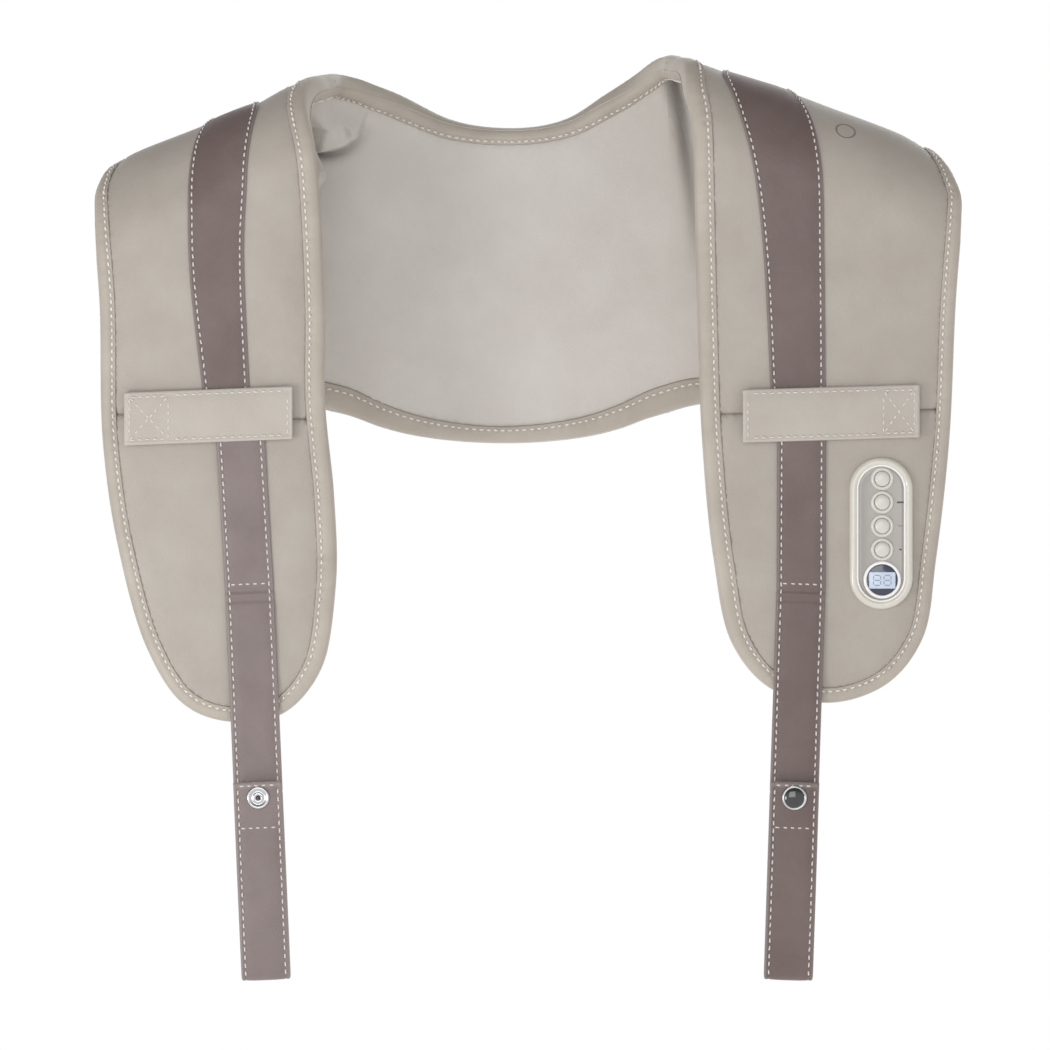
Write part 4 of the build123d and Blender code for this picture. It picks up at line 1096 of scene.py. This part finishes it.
def control_unit():
    stadium_ring("control_rim", [(0.9, -1.5), (0.0, 0.2), (-0.1, 2.4), (0.2, 3.9), (0.9, 5.0), (2.0, 5.6),
                                 (3.1, 5.65), (4.0, 5.2), (4.5, 4.5)], RIM, "rim_plastic",
                 ["control_bezel", "control_base"])
    # a white ring painted in as the highlight along the rim's inner edge
    stadium_ring("control_rim_bright", [(4.2, 4.4), (4.3, 4.95), (4.7, 5.15), (5.2, 4.9), (5.5, 4.2),
                                        (5.6, 3.4)], WHITE_RING_AND_PAINTED_HIGHLIGHT, "rim_plastic")
    stadium_ring("control_plate", [(5.3, 2.6), (5.35, 3.7), (5.8, 3.85), (7.0, 3.8), (13.0, 3.8)], FACE,
                 "face_plastic", ["control_face"], filled=True)
    for name, height in KEY_HEIGHTS.items():
        centre = control_point(KEY_X, height, 0)
        collar = [(4.7, 3.7), (4.75, 4.5), (5.1, 4.85), (5.9, 4.9), (6.5, 4.7), (6.85, 4.2), (6.95, 3.7)]
        lathe(f"{name}_collar", centre, collar, COLLAR, "face_plastic", "shawl")
        dome = [(4.5, 4.65), (4.48, 4.85), (4.3, 5.2), (3.7, 5.65), (2.6, 5.95), (1.3, 6.1), (0.1, 6.12)]
        lathe(f"{name}_button", centre, dome, KEY, "key_rubber", f"{name}_button", [f"{name}_key"])
    centre = control_point(KEY_X, DISPLAY_Z, 0)
    ring = [(9.3, 3.8), (9.4, 4.7), (9.9, 5.15), (10.7, 5.1), (11.2, 4.6), (11.35, 3.8)]
    lathe("display_ring", centre, ring, WHITE_RING_AND_PAINTED_HIGHLIGHT, "rim_plastic", "shawl", steps=96)
    glass = [(9.4, 3.9), (9.3, 4.45), (8.8, 4.6), (5.0, 4.72), (0.1, 4.76)]
    lathe("display_glass", centre, glass, LENS, "lens", "shawl", ["display_lens"], steps=96)
    wide, tall = WINDOW_HALF[0] - WINDOW_ROUND, WINDOW_HALF[1] - WINDOW_ROUND
    loop = [(cx * wide + WINDOW_ROUND * math.cos(angle), cz * tall + WINDOW_ROUND * math.sin(angle))
            for cx, cz, angle in rounded_corners(6)]
    points = [control_point(KEY_X + x * k, WINDOW_Z + z * k, front)
              for k, front in ((1.0, 4.3), (1.0, 4.86), (0.97, 4.92)) for x, z in loop]
    closed_piece("display_window", points, tube_faces(3, len(loop), first=False), SCREEN, "display", "shawl")
    for name, key, wide, look in (("mark_dash", "mode", 2.2, MARK), ("mark_line", "plus", 1.6, FACE),
                                  ("mark_dot", "minus", 0.7, MARK)):
        points = bar(11.6, KEY_HEIGHTS[key], wide, 0.5, ((3.75, 1.0), (3.98, 0.85)))
        closed_piece(name, points, tube_faces(2, 4, first=False), look, "face_plastic", "shawl")
    segments()


def bar(x, z, wide, tall, levels):
    """Corners of a small raised bar: levels are its heights in front of the leather and its shrink there."""
    return [control_point(x + a * wide * k, z + b * tall * k, front) for front, k in levels
            for a, b in ((-1, -1), (1, -1), (1, 1), (-1, 1))]


def segments():
    """Unlit bars of the two figures behind the display window."""
    bars = [(0, z, 1.7, 0.35) for z in (3.0, 0, -3.0)]
    bars += [(x, z, 0.35, 1.15) for z in (1.5, -1.5) for x in (-2.1, 2.1)]
    points, faces = [], []
    for digit in (-3.1, 3.1):
        for x, z, wide, tall in bars:
            faces += tube_faces(2, 4, len(points), first=False)
            points += bar(KEY_X + digit + x, WINDOW_Z + z, wide, tall, ((4.88, 1.0), (4.97, 0.8)))
    closed_piece("display_segments", points, faces, SEGMENT, "display", "shawl")


def embossed_ring(pad):
    """A small ring pressed into the left shoulder panel, beside the strip."""
    centre = LEFT.seen([(191.5, 49)], -1)[0]
    angle = np.linspace(0, 2 * math.pi, 61)
    line = centre + 5.8 * np.stack([np.cos(angle), np.sin(angle)], 1)
    places, out = frames_along(LEFT.bend, line, pad.height(line))
    inward = unit(places.mean(0) - places)
    section = ((-1.1, -0.5), (-0.8, 0.12), (-0.4, 0.28), (0.0, 0.02), (0.4, 0.28), (0.8, 0.12), (1.1, -0.5))
    points = np.stack([places + inward * w + out * h for w, h in section], 1)
    # the marks paint shade into the bottom of the ring's groove
    marks = np.tile([0, 0.15, 0.4, 1.0, 0.4, 0.15, 0], (len(line), 1))
    closed_piece("pressed_ring", points, grid_faces(len(line), len(section)), GREIGE, "shell_leather",
                 "shawl", (), marks)


# ---------------------------------------------------------------- node covers
CASE_HALF = (57.8, 43.8)
NODES_AT = ((28, -26), (28, 4), (-43, -11), (-13, -11))
BAG_RINGS = 34
BAG_WALL = 0.45    # the share of the rings that runs straight down the wall of the case


def node_cover(side, module_x):
    """Stretch cloth bag round the kneading module, with the nodes showing as soft bumps."""
    bend = side.bend
    centre = bend.at_x(side.sign * module_x, 0)
    top = bend.lay(centre)
    along = np.array((bend.along[0], 0, bend.along[1]))
    up = np.array((bend.up[0], 0, bend.up[1]))
    across = np.array((0, float(side.sign), 0))
    base = top - up * 41.4
    corners = rounded_corners(9)
    outline = []
    for (cx, cy, angle), (nx, ny, _) in zip(corners, corners[1:] + corners[:1]):
        outline.append((cx, cy, angle))
        if (cx, cy) != (nx, ny):
            outline += [(cx + (nx - cx) * t, cy + (ny - cy) * t, angle) for t in np.linspace(0, 1, 15)[1:-1]]
    outline = np.array(outline)
    points = []
    for t in np.linspace(0, 1, BAG_RINGS):
        roll = max(t - BAG_WALL, 0) / (1 - BAG_WALL)
        z = 34.0 - 46.0 * min(t / BAG_WALL, 1) - 8.9 * math.sin(roll * math.pi / 2) ** 0.8
        shrink = 9.0 * (1 - math.cos(min(roll * 2, 1) * math.pi / 2))
        closing = 1.0 if roll < 0.5 else math.cos((roll - 0.5) * math.pi) * 0.98 + 0.02
        radius = max(13.0 - shrink, 3.0)
        x = (outline[:, 0] * (CASE_HALF[0] - shrink - radius) + np.cos(outline[:, 2]) * radius) * closing
        y = (outline[:, 1] * (CASE_HALF[1] - shrink - radius) + np.sin(outline[:, 2]) * radius) * closing
        low = np.full(len(x), z)
        for hx, hy in NODES_AT:
            low -= 2.2 * hill(np.hypot(x - hx, y - hy), 11.0) * min(roll * 2, 1)
        folds = np.array([noise.noise((a / 9.0, b / 9.0, z / 16 + side.sign)) for a, b in zip(x, y)])
        points.append(base + np.outer(x, along) + np.outer(y, across) + np.outer(low + folds * 0.5, up))
    faces = tube_faces(BAG_RINGS, len(outline), first=False, last=False)
    made = closed_piece(f"{side.name}_node_bag", np.vstack(points), faces, NODE_CLOTH, "node_cloth", "shawl",
                        [f"{side.name}_node_cover"])


# ---------------------------------------------------------------- scene
def build_pads():
    pads = {}
    for side in (LEFT, RIGHT):
        seam = [(70, side.lobe_seam[0]), (275, side.lobe_seam[1])]
        x = side.sign * side.neck
        beyond = [NAPE.bend.carry(line, side.bend, x) for line in (NAPE.collar, NAPE.hem)]
        pads[side.name] = Pad(f"{side.name}_side", side.bend, side.loop, [side.edge, *beyond], [side.seam],
                              [evenly(side.seen(seam, -1), 1.6)], 3.0 + side.sign, side is RIGHT,
                              SADDLE if side is RIGHT else LEVEL)
        panel(pads[side.name], [f"{side.name}_{part}" for part in ("shoulder_cover", "chest_cover", "foam")],
              [f"{side.name}_lining"])
    beyond = [side.bend.carry(side.edge, NAPE.bend, side.sign * side.neck) for side in (LEFT, RIGHT)]
    pads["back"] = Pad("back", NAPE.bend, NAPE.loop, [NAPE.collar, NAPE.hem, *beyond], NAPE.seams, [],
                       11.0, True)
    panel(pads["back"], ["back_cover", "back_foam"], ["back_lining"])
    binding(pads)
    return pads


def loop_turn(loop):
    """1 where a closed line runs anticlockwise, so that its inside is on its left."""
    area = np.sum(loop[:, 0] * np.roll(loop[:, 1], -1) - loop[:, 1] * np.roll(loop[:, 0], -1))
    return 1.0 if area > 0 else -1.0


for one in (LEFT, RIGHT, NAPE):
    one.turn_in = loop_turn(one.loop)


# metres: half the width of the floor, and how far it lies below the piece
FLOOR_HALF, FLOOR_BELOW = 30.0, 2.4
# name, place in metres, watts and width in metres
LIGHTS = (("key", (-0.75, -0.95, -0.38), 3.2, 0.3), ("front", (-0.2, -2.6, 0.25), 9, 1.1),
          ("top", (-0.3, -0.7, 1.7), 3, 0.7), ("back", (0.3, 2.2, 1.2), 9, 1.6))


def stage():
    """Pale floor far below the hanging piece, soft light all round, and the camera."""
    low = CAD_BOX[0][2] - FLOOR_BELOW
    mesh = bpy.data.meshes.new("floor")
    mesh.from_pydata([(x * FLOOR_HALF, y * FLOOR_HALF, low) for x, y in ((-1, -1), (1, -1), (1, 1), (-1, 1))],
                     [], [(0, 1, 2, 3)])
    pale = Nodes("floor_pale")
    pale.set(Base_Color=(0.8, 0.8, 0.8, 1), Roughness=0.9, Emission_Color=(1, 1, 1, 1), Emission_Strength=0.7)
    mesh.materials.append(pale.material)
    put("floor", mesh)
    studio_world()
    for name, place, energy, width in LIGHTS:
        light = bpy.data.lights.new(name, "AREA")
        light.energy, light.size = energy, width
        lamp = put(name, light)
        lamp.location = place
        aim = np.array((0, 0, -0.15)) - np.array(place)
        lamp.rotation_euler = (math.atan2(math.hypot(aim[0], aim[1]), -aim[2]), 0,
                               math.atan2(aim[1], aim[0]) - math.pi / 2)
    camera = bpy.data.cameras.new("camera")
    camera.sensor_width = 36
    camera.lens = camera.sensor_width * (CAMERA_AWAY - HALF_DEPTH) / VIEW_WIDTH
    camera.clip_end = 100
    eye = put("camera", camera)
    eye.location = (CAMERA_X * MM, -CAMERA_AWAY * MM, CAMERA_Z * MM)
    eye.rotation_euler = (math.pi / 2, 0, 0)
    bpy.context.scene.camera = eye
    bpy.context.scene.view_settings.view_transform = "Standard"


def studio_world():
    """White light from all round, strongest near the horizon."""
    world = bpy.data.worlds.new("studio")
    bpy.context.scene.world = world
    world.use_nodes = True
    tree = world.node_tree
    place, split = tree.nodes.new("ShaderNodeTexCoord"), tree.nodes.new("ShaderNodeSeparateXYZ")
    steep, fall = tree.nodes.new("ShaderNodeMath"), tree.nodes.new("ShaderNodeMapRange")
    steep.operation, fall.interpolation_type = "ABSOLUTE", "SMOOTHSTEP"
    for socket, value in (("From Min", 0.1), ("From Max", 0.7), ("To Min", 1.0), ("To Max", 0.3)):
        fall.inputs[socket].default_value = value
    background = tree.nodes["Background"]
    background.inputs["Color"].default_value = (1, 1, 1, 1)
    for source, target in ((place.outputs["Generated"], split.inputs[0]),
                           (split.outputs["Z"], steep.inputs[0]), (steep.outputs[0], fall.inputs["Value"]),
                           (fall.outputs[0], background.inputs["Strength"])):
        tree.links.new(source, target)


def dress_cad():
    """Gives every carried-over CAD node the look of its material slot."""
    slots = {entry["node"]: entry["material_slot"] for entry in frame["record"]["subparts"]}
    for name, node in frame["nodes"].items():
        look = SLOT_LOOKS[slots[name]]
        for slot in node.material_slots:
            slot.material = look


dress_cad()
PADS = build_pads()
shoulder_strip(LEFT, PADS["left"])
shoulder_strip(RIGHT, PADS["right"])
strap_pieces(LEFT, PADS["left"], Strap(LEFT, 165, 1.9, 0.2), TAUPE)
# the right strap wears the lighter, painted-lit copy of the band leather
strap_pieces(RIGHT, PADS["right"], Strap(RIGHT, 166, 2.5, 3.4), TAUPE_PAINTED_LIT)
for places in KEEPERS:
    keeper(*places)
keeper_fillers()
embossed_ring(PADS["left"])
control_unit()
node_cover(LEFT, 190)
node_cover(RIGHT, 197)
stage()
